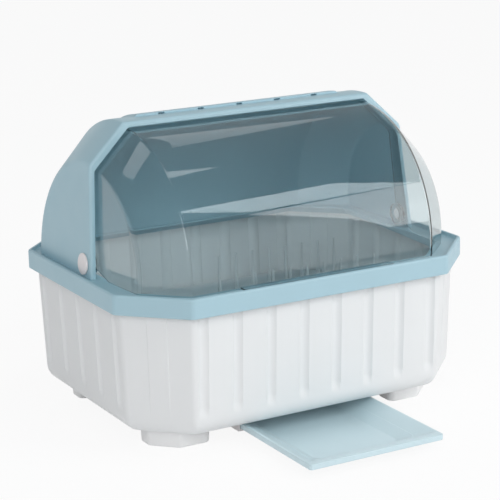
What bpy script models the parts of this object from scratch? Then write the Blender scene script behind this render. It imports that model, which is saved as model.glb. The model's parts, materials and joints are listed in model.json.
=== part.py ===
# Covered dish drainer: a tub on four feet, a collar over its edge, a fixed rear hood, a clear lid
# that swings up inside the hood, and a drip tray that slides out from under the tub.
# Metres, +Z up, +X to the right, the front faces -Y, and the feet stand on z = 0.
# The fixed pieces are drawn about the middle of the collar. The tray is drawn pulled out, and the
# whole is set back by half of the tray's overhang, so the origin is under the middle of its outline.
import math

import bmesh
import bpy
from mathutils import Matrix, Vector

for leftover in list(bpy.data.objects):
    bpy.data.objects.remove(leftover, do_unlink=True)

# Clearances shared by all pieces
SEAT_GAP = 0.0003
CUT_OVERRUN = 0.004
JOIN_OVERLAP = 0.001

# Collar: the outline that the other pieces follow is a rectangle with cut corners
RIM_HALF_WIDTH = 0.250
RIM_HALF_DEPTH = 0.197
RIM_CORNER_LEG = 0.070
RIM_SKIRT_WALL = 0.0025
RIM_SKIRT_DROP = 0.0195
RIM_LIP_HEIGHT = 0.005
RIM_LIP_WIDTH = 0.0045
RIM_LIP_DRAFT = 0.001
RIM_EDGE_ROUND = 0.0025
DECK_THICKNESS = 0.0025
OPENING_SIDE_MARGIN = 0.032
OPENING_FRONT_MARGIN = 0.031
OPENING_REAR_MARGIN = 0.0385
OPENING_CORNER_TRIM = 0.0187
INNER_LIP_DROP = 0.011
INNER_LIP_WALL = 0.002
TRAP_INSET = 0.0172
TRAP_WALL = 0.002
TRAP_DROP = 0.010

# Feet
FOOT_HEIGHT = 0.0232
FOOT_SIDE_MARGIN = 0.047
FOOT_END_MARGIN = 0.056
FOOT_CORNER_LEG = 0.029
FOOT_SIDE_RUN = 0.025
FOOT_FRONT_RUN = 0.0425
FOOT_TAPER = 0.0012
FOOT_EDGE = 0.0020

# Tub
TUB_HEIGHT = 0.1707
TUB_TOP_INSET = 0.0100
TUB_DRAFT = 0.037
TUB_WALL = 0.0025
TUB_FLOOR = 0.0025
TUB_BOTTOM_ROUND = 0.022
TUB_FLANGE = 0.0025
GROOVE_WIDTH = 0.0075
GROOVE_DEPTH = 0.0032
GROOVE_RUN_OUT = 0.008
GROOVE_END_MARGIN = 0.011
FRONT_GROOVE_PITCH = 0.0467
SIDE_GROOVE_PITCH = 0.0512
CORNER_GROOVE_WIDTH = 0.0035
CORNER_GROOVE_DEPTH = 0.0012
ROUND_STEPS = 4
GROOVE_SHAPE_SHARES = ((-0.5, 0.0), (-0.24, 1.0), (0.24, 1.0), (0.5, 0.0))

# Drain in the tub's floor
DRAIN_Y = -0.060
DRAIN_RADIUS = 0.0175
STRAINER_FLANGE_RADIUS = 0.0225
STRAINER_FLANGE = 0.0014
STRAINER_PLATE = 0.0014
STRAINER_WALL = 0.0016
STRAINER_DROP = 0.0012
STRAINER_HOLE_RADIUS = 0.0015
STRAINER_HOLE_SIDES = 8
STRAINER_RING_PITCH = 0.0052
STRAINER_RINGS = 2
STRAINER_FIRST_RING_HOLES = 6

# Hood
HOOD_SIDE_MARGIN = 0.0144
HOOD_WALL = 0.0025
HOOD_SHOULDER_RUN = 0.0586
HOOD_OVER_LID_SIDE = 0.0089
HOOD_OVER_LID_TOP = 0.0100
HOOD_SIDE_DRAFT = 0.078
HOOD_FRONT_LEAN = 0.104
HOOD_FRONT_REACH = 0.0305
HOOD_SETBACK = 0.010
HOOD_FLANGE_WIDTH = 0.0075
HOOD_FLANGE_CORNER = 0.0030
HOOD_FLANGE_WALL = 0.0025
HOOD_STEPS = 24
RIDGE_END_MARGIN = 0.027
RIDGE_HEIGHT = 0.0027
RIDGE_END_SLOPE = 0.006
RIDGE_START_DEG = 94.6
RIDGE_END_DEG = 110.0
RIDGE_STEPS = 5
VENT_COUNT = 5
VENT_PITCH = 0.0555
VENT_LENGTH = 0.009
VENT_HEIGHT = 0.0018
VENT_RISE = 0.00115
VENT_DEPTH = 0.0085
VENT_FALL_DEG = 35.0

# Lid and its pivots
PIVOT_Y = -0.0163
CAP_FLOOR_GAP = 0.00165
LID_FRONT_MARGIN = 0.0212
LID_SHOULDER_DROP = 0.0449
LID_CREASE_SETBACK = 0.0065
LID_EAR_STAND = 0.0028
LID_SIDE_TAPER = 0.078
LID_WALL = 0.0022
LID_START_DEG = -20.0
LID_END_DEG = 93.0
LID_CUT_EXTRA_DEG = 10.0
LID_STEPS = 26
CAP_OVER_EAR = 0.00025
EAR_LENGTH = 0.0067
EAR_END_WALL = 0.0025
CLIP_SIDE_GAP = 0.0008
TAB_HALF_WIDTH = 0.105
TAB_REACH = 0.0130
TAB_WALL = 0.0022
TAB_RISE = 0.0010
PIN_RADIUS = 0.0047
CAP_RADIUS = 0.01425
CAP_THICKNESS = 0.0026
CAP_EDGE = 0.0010
BOSS_RADIUS = 0.011
BOSS_RISE = 0.0013
WASHER_RADIUS = 0.009
WASHER_THICKNESS = 0.0019
CLIP_RADIUS = 0.007
CLIP_LENGTH = 0.0026
CLIP_END_WALL = 0.0008
CLIP_EDGE = 0.0007
TURN_STEPS = 32

# Drip tray and its runners
TRAY_FOOT_MARGIN = 0.0375
TRAY_REAR_MARGIN = 0.094
TRAY_OVERHANG = 0.115
TRAY_HEIGHT = 0.0075
TRAY_WALL = 0.0024
TRAY_FLOOR = 0.0018
TRAY_CORNER_RADIUS = 0.004
TRAY_EDGE = 0.0008
PAN_RIM = 0.0036
PAN_RIM_WALL = 0.0021
PAN_FRONT_LIP = 0.0069
PAN_SLOPE_RUN = 0.0320
PAN_LEDGE = 0.0012
PAN_LEDGE_SHARE = 0.535
PAN_UNDER_LEAD = 0.0005
PAN_TOP_RADIUS = 0.008
PAN_FLOOR_RADIUS = 0.012
PAN_FLOOR_GAP = 0.0012
CORNER_STEPS = 5
RUNNER_FRONT_MARGIN = 0.049
RUNNER_REAR_MARGIN = 0.061
RUNNER_TOP_PLAY = 0.0023
RUNNER_WALL = 0.0024
RUNNER_LIP = 0.0062
RUNNER_FLANGE = 0.007
RUNNER_SIDE_GAP = 0.0006
RUNNER_STOP = 0.0035
RUNNER_STOP_REACH = 0.009
RUNNER_STOP_SINK = 0.0006

# Drain rack and its combs
RACK_TOP_RISE = 0.0740
RACK_CLEARANCE = 0.0020
RACK_WALL = 0.0030
RACK_SKIRT = 0.010
RACK_SLOT_LENGTH = 0.050
RACK_SLOT_WIDTH = 0.009
RACK_SLOT_MARGIN = 0.045
RACK_SLOT_COLUMN_PITCH = 0.060
RACK_SLOT_ROW_PITCH = 0.020
RACK_LEG_HALF = 0.005
COMB_SIDE_MARGIN = 0.0285
COMB_HALF_LENGTH = 0.100
COMB_HALF_WIDTH = 0.005
COMB_BASE = 0.004
COMB_FRONT_BAR = 6
COMB_REAR_BAR = 1
TINE_PITCH = 0.026
TINE_END_MARGIN = 0.006
TINE_HEIGHT = 0.058
TINE_HALF_THICKNESS = 0.0022
TINE_HALF_WIDTH = 0.0040
TINE_TIP_SHARE = 0.55

# Places worked out from the sizes above
SHIFT_Y = TRAY_OVERHANG / 2
CORNER_SHARE = 2 - math.sqrt(2)
OPENING_HALF_WIDTH = RIM_HALF_WIDTH - OPENING_SIDE_MARGIN
OPENING_FRONT = RIM_HALF_DEPTH - OPENING_FRONT_MARGIN
OPENING_REAR = RIM_HALF_DEPTH - OPENING_REAR_MARGIN
OPENING_CORNER_LEG = RIM_CORNER_LEG - OPENING_CORNER_TRIM
FOOT_OUTER_X = RIM_HALF_WIDTH - FOOT_SIDE_MARGIN
FOOT_OUTER_Y = RIM_HALF_DEPTH - FOOT_END_MARGIN
FOOT_INNER_X = FOOT_OUTER_X - FOOT_CORNER_LEG - FOOT_FRONT_RUN
FOOT_INNER_Y = FOOT_OUTER_Y - FOOT_CORNER_LEG - FOOT_SIDE_RUN
TUB_BOTTOM_Z = FOOT_HEIGHT + SEAT_GAP
TUB_TOP_Z = TUB_BOTTOM_Z + TUB_HEIGHT
DECK_UNDER_Z = TUB_TOP_Z + SEAT_GAP
DECK_Z = DECK_UNDER_Z + DECK_THICKNESS
RIM_TOP_Z = DECK_Z + RIM_LIP_HEIGHT
RIM_BOTTOM_Z = DECK_Z - RIM_SKIRT_DROP
SEAT_Z = DECK_Z + SEAT_GAP
PIVOT_Z = DECK_Z + CAP_RADIUS + CAP_FLOOR_GAP
TUB_FLOOR_Z = TUB_BOTTOM_Z + TUB_FLOOR
RACK_TOP_Z = TUB_FLOOR_Z + RACK_TOP_RISE
TRAY_HALF_WIDTH = FOOT_INNER_X - TRAY_FOOT_MARGIN
TRAY_LENGTH = 2 * RIM_HALF_DEPTH - TRAY_REAR_MARGIN
TRAY_Z = FOOT_HEIGHT - RUNNER_WALL - RUNNER_TOP_PLAY - TRAY_HEIGHT
PAN_DEPTH = TRAY_Z + TRAY_HEIGHT - TRAY_FLOOR - PAN_FLOOR_GAP
RUNNER_FRONT = RIM_HALF_DEPTH - RUNNER_FRONT_MARGIN
RUNNER_REAR = RIM_HALF_DEPTH - RUNNER_REAR_MARGIN

# The pivot, from the hood's side inwards
HOOD_HALF_WIDTH = RIM_HALF_WIDTH - HOOD_SIDE_MARGIN
BOSS_FACE_X = HOOD_HALF_WIDTH - HOOD_WALL - BOSS_RISE
EAR_OUTER_X = BOSS_FACE_X - SEAT_GAP - WASHER_THICKNESS - SEAT_GAP
EAR_INNER_X = EAR_OUTER_X - EAR_LENGTH
EAR_RECESS_X = EAR_OUTER_X - EAR_END_WALL
EAR_RECESS_RADIUS = CLIP_RADIUS + CLIP_SIDE_GAP
EAR_RADIUS = CAP_RADIUS - CAP_OVER_EAR
PIN_HOLE_RADIUS = PIN_RADIUS + SEAT_GAP

# The lid's round section, and the hood's over it
LID_CREASE_RADIUS = RIM_HALF_DEPTH + PIVOT_Y - LID_FRONT_MARGIN
LID_SIDE_RADIUS = LID_CREASE_RADIUS - LID_SHOULDER_DROP
LID_SIDE_X = EAR_OUTER_X - LID_EAR_STAND - LID_SIDE_TAPER * LID_SIDE_RADIUS
HOOD_CREASE_X = HOOD_HALF_WIDTH - HOOD_SHOULDER_RUN
LID_CREASE_X = HOOD_CREASE_X - LID_CREASE_SETBACK
HOOD_CREASE_RADIUS = LID_CREASE_RADIUS + HOOD_OVER_LID_TOP
HOOD_SIDE_RADIUS = LID_SIDE_RADIUS + HOOD_OVER_LID_SIDE
HOOD_CENTRE_Y = PIVOT_Y + HOOD_SETBACK
RIDGE_HALF_LENGTH = HOOD_CREASE_X - RIDGE_END_MARGIN

# Colours, as linear red, green and blue
PALE_BLUE = (0.36, 0.53, 0.60)
WHITE = (0.80, 0.82, 0.83)
CLEAR = (0.86, 0.92, 0.94)


def plastic(name, colour, roughness, alpha=1.0):
    """A moulded plastic with one colour."""
    material = bpy.data.materials.new(name)
    material.use_nodes = True
    shader = material.node_tree.nodes["Principled BSDF"]
    shader.inputs["Base Color"].default_value = (*colour, 1.0)
    shader.inputs["Roughness"].default_value = roughness
    shader.inputs["Metallic"].default_value = 0.0
    shader.inputs["Alpha"].default_value = alpha
    return material


def axis_empty(name, y, z):
    """An empty that carries the pieces drawn about it."""
    empty = bpy.data.objects.new(name, None)
    empty.location = (0, y, z)
    bpy.context.collection.objects.link(empty)
    return empty


def add_object(name, mesh_maker, carrier, material=None):
    """Link a mesh as an object on its carrier. Without a material it is a cutter or a joined shape."""
    mesh = bpy.data.meshes.new(name)
    bmesh.ops.recalc_face_normals(mesh_maker, faces=mesh_maker.faces)
    mesh_maker.to_mesh(mesh)
    mesh_maker.free()
    item = bpy.data.objects.new(name, mesh)
    item.parent = carrier
    bpy.context.collection.objects.link(item)
    if material:
        mesh.materials.append(material)
    else:
        item.hide_render = True
        item.display_type = "WIRE"
    return item


def combine(target, tool, operation):
    """Cut a shape out of an object, or join one to it."""
    change = target.modifiers.new(tool.name, "BOOLEAN")
    change.operation = operation
    change.object = tool
    change.solver = "EXACT"


def soften(item, angle_deg):
    """Shade the round faces smooth and keep the sharp edges."""
    item.data.shade_smooth()
    item.data.set_sharp_from_angle(angle=math.radians(angle_deg))


def loft(rings, closed=False):
    """Skin equal rings of points. The ends are capped unless the last ring meets the first."""
    shape = bmesh.new()
    levels = [[shape.verts.new(point) for point in ring] for ring in rings]
    count = len(levels[0])
    pairs = list(zip(levels, levels[1:]))
    if closed:
        pairs.append((levels[-1], levels[0]))
    else:
        shape.faces.new(levels[0])
        shape.faces.new(levels[-1])
    for lower, upper in pairs:
        for i in range(count):
            j = (i + 1) % count
            shape.faces.new((lower[i], lower[j], upper[j], upper[i]))
    return shape


def add_box(shape, low, high):
    """Add a closed box between two corners to a shape."""
    corners = [shape.verts.new((x, y, z)) for z in (low[2], high[2])
               for x, y in ((low[0], low[1]), (high[0], low[1]), (high[0], high[1]), (low[0], high[1]))]
    shape.faces.new(corners[:4])
    shape.faces.new(corners[4:])
    for i in range(4):
        j = (i + 1) % 4
        shape.faces.new((corners[i], corners[j], corners[j + 4], corners[i + 4]))


def box(low, high):
    """One closed box between two corners."""
    shape = bmesh.new()
    add_box(shape, low, high)
    return shape


def turned(profile, axis, closed=False, steps=TURN_STEPS):
    """Turn a profile of (place along the axis, radius) points about X or Z."""
    rings = []
    for along, radius in profile:
        ring = []
        for i in range(steps):
            angle = 2 * math.pi * i / steps
            u = radius * math.cos(angle)
            v = radius * math.sin(angle)
            ring.append((along, u, v) if axis == "X" else (u, v, along))
        rings.append(ring)
    return loft(rings, closed)


def cut_corner_plan(half_width, front, rear, leg):
    """A rectangle with cut corners, anticlockwise from its front left corner."""
    return [(-half_width + leg, front), (half_width - leg, front),
            (half_width, front + leg), (half_width, rear - leg),
            (half_width - leg, rear), (-half_width + leg, rear),
            (-half_width, rear - leg), (-half_width, front + leg)]


def plan(inset):
    """The collar's outline, moved in by an even distance."""
    return cut_corner_plan(RIM_HALF_WIDTH - inset, -RIM_HALF_DEPTH + inset, RIM_HALF_DEPTH - inset,
                           RIM_CORNER_LEG - CORNER_SHARE * inset)


def at_height(points, z):
    """Points of a plan, lifted to a height."""
    return [(x, y, z) for x, y in points]


def opening(inset):
    """The outline of the collar's opening, moved in by an even distance."""
    return cut_corner_plan(OPENING_HALF_WIDTH - inset, -OPENING_FRONT + inset, OPENING_REAR - inset,
                           OPENING_CORNER_LEG - CORNER_SHARE * inset)


def rounded_plan(half_width, front, rear, radius):
    """A rectangle with round corners, anticlockwise from its front right corner."""
    points = []
    corners = ((half_width, front, -90), (half_width, rear, 0), (-half_width, rear, 90),
               (-half_width, front, 180))
    middle = (front + rear) / 2
    for x, y, start in corners:
        centre_x = x - math.copysign(radius, x)
        centre_y = y - math.copysign(radius, y - middle)
        for i in range(CORNER_STEPS + 1):
            angle = math.radians(start + 90 * i / CORNER_STEPS)
            points.append((centre_x + radius * math.cos(angle), centre_y + radius * math.sin(angle)))
    return points


def tub_inset(z):
    """How far the drafted tub wall stands inside the collar's outline."""
    return TUB_TOP_INSET + TUB_DRAFT * (TUB_TOP_Z - z)


def spaced(count, pitch):
    """Evenly spaced places about zero."""
    return [(i - (count - 1) / 2) * pitch for i in range(count)]


def spaced_within(length, pitch):
    """As many evenly spaced places about zero as a length holds."""
    return spaced(int(length / pitch) + 1, pitch)


def groove_places(half_length, pitch):
    """Centres of the grooves on a face of the tub, from its straight run under the collar."""
    leg = RIM_CORNER_LEG - CORNER_SHARE * TUB_TOP_INSET
    return spaced_within((half_length - TUB_TOP_INSET - leg - GROOVE_END_MARGIN) * 2, pitch)


def tub_ring(inset, z, depth_share, widen=0.0, squeeze=1.0):
    """One level of the tub's wall, with the groove points on all eight faces."""
    corners = [Vector(point) for point in plan(inset)]
    front = groove_places(RIM_HALF_WIDTH, FRONT_GROOVE_PITCH)
    side = groove_places(RIM_HALF_DEPTH, SIDE_GROOVE_PITCH)
    points = []
    for i, start in enumerate(corners):
        run = corners[(i + 1) % len(corners)] - start
        along = run.normalized()
        inward = Vector((-along.y, along.x))
        middle = start + run / 2
        width = GROOVE_WIDTH + widen
        depth = GROOVE_DEPTH * depth_share
        centres = front if i % 4 == 0 else side
        if i % 2 == 1:
            centres = [0.0]
            width = CORNER_GROOVE_WIDTH + widen
            depth = CORNER_GROOVE_DEPTH * depth_share
        points.append(start)
        for centre in centres:
            for across, down in GROOVE_SHAPE_SHARES:
                place = (centre + across * width) * squeeze
                points.append(middle + along * place + inward * down * depth)
    return at_height([(point.x, point.y) for point in points], z)


def front_edge_half(inset):
    """Half the straight front run of the outline at an inset."""
    return plan(inset)[1][0]


def bottom_round(wall):
    """The tub's rounded foot, from the wall's end to the flat bottom. The inner skin is a wall in."""
    radius = TUB_BOTTOM_ROUND - wall
    start_z = TUB_BOTTOM_Z + TUB_BOTTOM_ROUND
    start_inset = tub_inset(start_z) + wall
    rings = []
    for i in range(ROUND_STEPS + 1):
        angle = math.pi / 2 * i / ROUND_STEPS
        inset = start_inset + radius * (1 - math.cos(angle))
        squeeze = front_edge_half(inset) / front_edge_half(start_inset)
        rings.append(tub_ring(inset, start_z - radius * math.sin(angle), 0.0, wall, squeeze))
    return rings


def make_tub(carrier):
    """The ribbed white tub: one skin inside, a flange at the top and one skin outside."""
    groove_end_z = TUB_BOTTOM_Z + TUB_BOTTOM_ROUND + GROOVE_RUN_OUT
    flange_z = TUB_TOP_Z - TUB_FLANGE
    flange_inset = RIM_SKIRT_WALL + SEAT_GAP
    rings = list(reversed(bottom_round(TUB_WALL)))
    rings.append(tub_ring(tub_inset(groove_end_z) + TUB_WALL, groove_end_z, 1.0, TUB_WALL))
    rings.append(tub_ring(tub_inset(TUB_TOP_Z) + TUB_WALL, TUB_TOP_Z, 1.0, TUB_WALL))
    rings.append(tub_ring(flange_inset, TUB_TOP_Z, 0.0))
    rings.append(tub_ring(flange_inset, flange_z, 0.0))
    rings.append(tub_ring(tub_inset(flange_z), flange_z, 1.0))
    rings.append(tub_ring(tub_inset(groove_end_z), groove_end_z, 1.0))
    rings.extend(bottom_round(0.0))
    tub = add_object("tub", loft(rings), carrier, plastic("tub_plastic", WHITE, 0.35))
    hole = turned([(TUB_BOTTOM_Z - CUT_OVERRUN, DRAIN_RADIUS + SEAT_GAP),
                   (TUB_FLOOR_Z + CUT_OVERRUN, DRAIN_RADIUS + SEAT_GAP)], "Z")
    cutter = add_object("tub_drain_cut", hole, carrier)
    cutter.location.y = DRAIN_Y
    combine(tub, cutter, "DIFFERENCE")
    soften(tub, 28)
    return tub


def make_foot(name, side, end, carrier):
    """One corner foot. Side is -1 on the left and end is -1 at the front."""
    cut_x = FOOT_OUTER_X - FOOT_CORNER_LEG
    cut_y = FOOT_OUTER_Y - FOOT_CORNER_LEG
    outline = [(FOOT_OUTER_X, FOOT_INNER_Y), (FOOT_OUTER_X, cut_y), (cut_x, FOOT_OUTER_Y),
               (FOOT_INNER_X, FOOT_OUTER_Y), (FOOT_INNER_X, cut_y), (cut_x, FOOT_INNER_Y)]
    centre = Vector((sum(x for x, y in outline), sum(y for x, y in outline))) / len(outline)
    rings = []
    for inset, z in ((FOOT_TAPER + FOOT_EDGE, 0.0), (FOOT_TAPER, FOOT_EDGE), (0.0, FOOT_HEIGHT)):
        ring = []
        for x, y in outline:
            away = Vector((x, y)) - centre
            point = centre + away * (1 - inset / away.length)
            ring.append((side * point.x, end * point.y, z))
        rings.append(ring)
    return add_object(name, loft(rings), carrier, plastic(name + "_plastic", WHITE, 0.4))


def make_strainer(carrier):
    """The drain's strainer: a flanged cup with small holes, dropped into the hole in the floor."""
    flange_z = TUB_FLOOR_Z + SEAT_GAP
    bottom_z = TUB_BOTTOM_Z - STRAINER_DROP
    inner = DRAIN_RADIUS - STRAINER_WALL
    profile = [(bottom_z + STRAINER_PLATE, inner), (flange_z + STRAINER_FLANGE, inner),
               (flange_z + STRAINER_FLANGE, STRAINER_FLANGE_RADIUS), (flange_z, STRAINER_FLANGE_RADIUS),
               (flange_z, DRAIN_RADIUS), (bottom_z, DRAIN_RADIUS)]
    strainer = add_object("drain_strainer", turned(profile, "Z"), carrier,
                          plastic("strainer_plastic", PALE_BLUE, 0.4))
    strainer.location.y = DRAIN_Y
    places = [Vector((0, 0))]
    for ring in range(1, STRAINER_RINGS + 1):
        count = STRAINER_FIRST_RING_HOLES * ring
        for i in range(count):
            angle = 2 * math.pi * i / count
            places.append(Vector((math.cos(angle), math.sin(angle))) * STRAINER_RING_PITCH * ring)
    holes = bmesh.new()
    for place in places:
        turns = [2 * math.pi * i / STRAINER_HOLE_SIDES for i in range(STRAINER_HOLE_SIDES)]
        ring = [(place.x + STRAINER_HOLE_RADIUS * math.cos(turn),
                 place.y + STRAINER_HOLE_RADIUS * math.sin(turn)) for turn in turns]
        lower = [holes.verts.new((x, y, bottom_z - CUT_OVERRUN)) for x, y in ring]
        upper = [holes.verts.new((x, y, bottom_z + CUT_OVERRUN)) for x, y in ring]
        holes.faces.new(lower)
        holes.faces.new(upper)
        for i in range(STRAINER_HOLE_SIDES):
            j = (i + 1) % STRAINER_HOLE_SIDES
            holes.faces.new((lower[i], lower[j], upper[j], upper[i]))
    cutter = add_object("strainer_holes_cut", holes, carrier)
    cutter.location.y = DRAIN_Y
    combine(strainer, cutter, "DIFFERENCE")
    soften(strainer, 40)
    return strainer


def make_collar(carrier):
    """The blue collar: an outer skirt with a raised lip, a sunken deck, and a skirt inside the tub."""
    skirt = RIM_SKIRT_WALL
    lip = RIM_LIP_WIDTH
    round_in = RIM_EDGE_ROUND * CORNER_SHARE / 2
    rings = [at_height(plan(0.0), RIM_BOTTOM_Z),
             at_height(plan(0.0), RIM_TOP_Z - RIM_EDGE_ROUND),
             at_height(plan(round_in), RIM_TOP_Z - round_in),
             at_height(plan(RIM_EDGE_ROUND), RIM_TOP_Z),
             at_height(plan(lip), RIM_TOP_Z),
             at_height(plan(lip + RIM_LIP_DRAFT), DECK_Z),
             at_height(opening(0.0), DECK_Z),
             at_height(opening(0.0), DECK_UNDER_Z),
             at_height(plan(TRAP_INSET + TRAP_WALL), DECK_UNDER_Z),
             at_height(plan(TRAP_INSET + TRAP_WALL), DECK_UNDER_Z - TRAP_DROP),
             at_height(plan(TRAP_INSET), DECK_UNDER_Z - TRAP_DROP),
             at_height(plan(TRAP_INSET), DECK_UNDER_Z),
             at_height(plan(skirt), DECK_UNDER_Z),
             at_height(plan(skirt), RIM_BOTTOM_Z)]
    collar = add_object("rim_collar", loft(rings, closed=True), carrier,
                        plastic("collar_plastic", PALE_BLUE, 0.35))
    outer = opening(-INNER_LIP_WALL)
    inner = opening(0.0)
    path = (6, 7, 0, 1, 2, 3)
    levels = (DECK_Z - INNER_LIP_DROP, DECK_UNDER_Z + JOIN_OVERLAP)
    sections = []
    for i in path:
        sections.append([(*outer[i], levels[0]), (*inner[i], levels[0]),
                         (*inner[i], levels[1]), (*outer[i], levels[1])])
    joined = add_object("collar_inner_lip", loft(sections), carrier)
    combine(collar, joined, "UNION")
    soften(collar, 30)
    return collar


def inset_section(side, crease, inset, corner_extra=0.0, taper=0.0):
    """Move a section of side, slope and top inwards by a wall, and return its two new corners."""
    slope = Vector((crease[1] - side[1], side[0] - crease[0])).normalized()
    reach = slope.x * side[0] + slope.y * side[1] - inset - corner_extra
    side_line = side[0] + taper * side[1] - inset * math.hypot(1, taper)
    side_radius = (reach - slope.x * side_line) / (slope.y - slope.x * taper)
    crease_radius = crease[1] - inset
    crease_x = (reach - slope.y * crease_radius) / slope.x
    return (side_line - taper * side_radius, side_radius), (crease_x, crease_radius)


def hood_side_x(z, inset):
    """The hood's flat, drafted side at a height."""
    return HOOD_HALF_WIDTH - inset - HOOD_SIDE_DRAFT * (z - PIVOT_Z)


def hood_front_y(z, shift):
    """The leaning plane of the hood's front at a height."""
    return HOOD_CENTRE_Y - HOOD_FRONT_REACH + shift + HOOD_FRONT_LEAN * (z - PIVOT_Z)


def hood_solid(inset, corner_extra, front_shift, base_z):
    """A closed hood shape: flat sides, and a slope and a top that follow round the hood's centre."""
    top_side_x = HOOD_HALF_WIDTH - HOOD_SIDE_DRAFT * HOOD_SIDE_RADIUS
    side, crease = inset_section((top_side_x, HOOD_SIDE_RADIUS), (HOOD_CREASE_X, HOOD_CREASE_RADIUS),
                                 inset, corner_extra)
    lean = math.atan(HOOD_FRONT_LEAN)
    reach = HOOD_FRONT_REACH - front_shift

    def arc_point(radius, share):
        start = lean + math.acos(reach / (radius * math.hypot(1, HOOD_FRONT_LEAN)))
        angle = start + (math.pi - start) * share
        return HOOD_CENTRE_Y - radius * math.cos(angle), PIVOT_Z + radius * math.sin(angle)

    shape = bmesh.new()
    rings = []
    for i in range(HOOD_STEPS + 1):
        side_y, side_z = arc_point(side[1], i / HOOD_STEPS)
        crease_y, crease_z = arc_point(crease[1], i / HOOD_STEPS)
        x = hood_side_x(side_z, inset)
        rings.append([(-x, side_y, side_z), (-crease[0], crease_y, crease_z),
                      (crease[0], crease_y, crease_z), (x, side_y, side_z)])
    base_x = hood_side_x(base_z, inset)
    side_end_y = HOOD_CENTRE_Y + side[1]
    crease_end_y = HOOD_CENTRE_Y + crease[1]
    rings.append([(-base_x, side_end_y, base_z), (-crease[0], crease_end_y, base_z),
                  (crease[0], crease_end_y, base_z), (base_x, side_end_y, base_z)])
    levels = [[shape.verts.new(point) for point in ring] for ring in rings]
    front_left = shape.verts.new((-base_x, hood_front_y(base_z, front_shift), base_z))
    front_right = shape.verts.new((base_x, hood_front_y(base_z, front_shift), base_z))
    for fore, aft in zip(levels, levels[1:]):
        for i in range(3):
            shape.faces.new((fore[i], fore[i + 1], aft[i + 1], aft[i]))
    shape.faces.new([front_left] + levels[0] + [front_right])
    shape.faces.new([front_left] + [level[0] for level in levels])
    shape.faces.new([front_right] + [level[3] for level in levels])
    shape.faces.new([front_left, front_right] + levels[-1][::-1])
    return shape


def ridge_solid():
    """The raised band along the hood's top, with sloping ends."""
    rings = []
    low = HOOD_CREASE_RADIUS - JOIN_OVERLAP
    high = HOOD_CREASE_RADIUS + RIDGE_HEIGHT
    for i in range(RIDGE_STEPS + 1):
        angle = math.radians(RIDGE_START_DEG + (RIDGE_END_DEG - RIDGE_START_DEG) * i / RIDGE_STEPS)
        ring = []
        for x, radius in ((-RIDGE_HALF_LENGTH, low), (-RIDGE_HALF_LENGTH + RIDGE_END_SLOPE, high),
                          (RIDGE_HALF_LENGTH - RIDGE_END_SLOPE, high), (RIDGE_HALF_LENGTH, low)):
            ring.append((x, HOOD_CENTRE_Y - radius * math.cos(angle), PIVOT_Z + radius * math.sin(angle)))
        rings.append(ring)
    return loft(rings)


def vent_tools():
    """The vents as tools: slots that fall from the ridge's front face into the hood."""
    vents = bmesh.new()
    for x in spaced(VENT_COUNT, VENT_PITCH):
        add_box(vents, (x - VENT_LENGTH / 2, -CUT_OVERRUN, -VENT_HEIGHT / 2),
                (x + VENT_LENGTH / 2, VENT_DEPTH, VENT_HEIGHT / 2))
    start = math.radians(RIDGE_START_DEG)
    radius = HOOD_CREASE_RADIUS + VENT_RISE
    entry = Vector((0, HOOD_CENTRE_Y - radius * math.cos(start), PIVOT_Z + radius * math.sin(start)))
    turn = Matrix.Rotation(-math.radians(VENT_FALL_DEG), 4, "X")
    bmesh.ops.transform(vents, matrix=Matrix.Translation(entry) @ turn, verts=vents.verts)
    return vents


def make_hood(carrier):
    """The fixed rear hood: a shell with a return flange round its front, a ridge with vents and bosses."""
    hood = add_object("rear_hood", hood_solid(0.0, 0.0, 0.0, SEAT_Z), carrier,
                      plastic("hood_plastic", PALE_BLUE, 0.35))
    below_z = SEAT_Z - CUT_OVERRUN
    hollow = add_object("hood_hollow_cut", hood_solid(HOOD_WALL, 0.0, HOOD_FLANGE_WALL, below_z), carrier)
    mouth = add_object("hood_mouth_cut",
                       hood_solid(HOOD_FLANGE_WIDTH, HOOD_FLANGE_CORNER, -CUT_OVERRUN, below_z), carrier)
    combine(hood, hollow, "DIFFERENCE")
    combine(hood, mouth, "DIFFERENCE")
    combine(hood, add_object("hood_ridge", ridge_solid(), carrier), "UNION")
    inner_x = HOOD_HALF_WIDTH - HOOD_WALL
    for side in (-1, 1):
        profile = [(side * BOSS_FACE_X, BOSS_RADIUS), (side * (inner_x + JOIN_OVERLAP), BOSS_RADIUS)]
        boss = add_object("hood_boss_%d" % side, turned(profile, "X"), carrier)
        boss.location = (0, PIVOT_Y, PIVOT_Z)
        combine(hood, boss, "UNION")
    combine(hood, add_object("hood_vents_cut", vent_tools(), carrier), "DIFFERENCE")
    bore = turned([(-RIM_HALF_WIDTH, PIN_HOLE_RADIUS), (RIM_HALF_WIDTH, PIN_HOLE_RADIUS)], "X")
    hole = add_object("hood_pin_cut", bore, carrier)
    hole.location = (0, PIVOT_Y, PIVOT_Z)
    combine(hood, hole, "DIFFERENCE")
    soften(hood, 20)
    return hood


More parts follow.
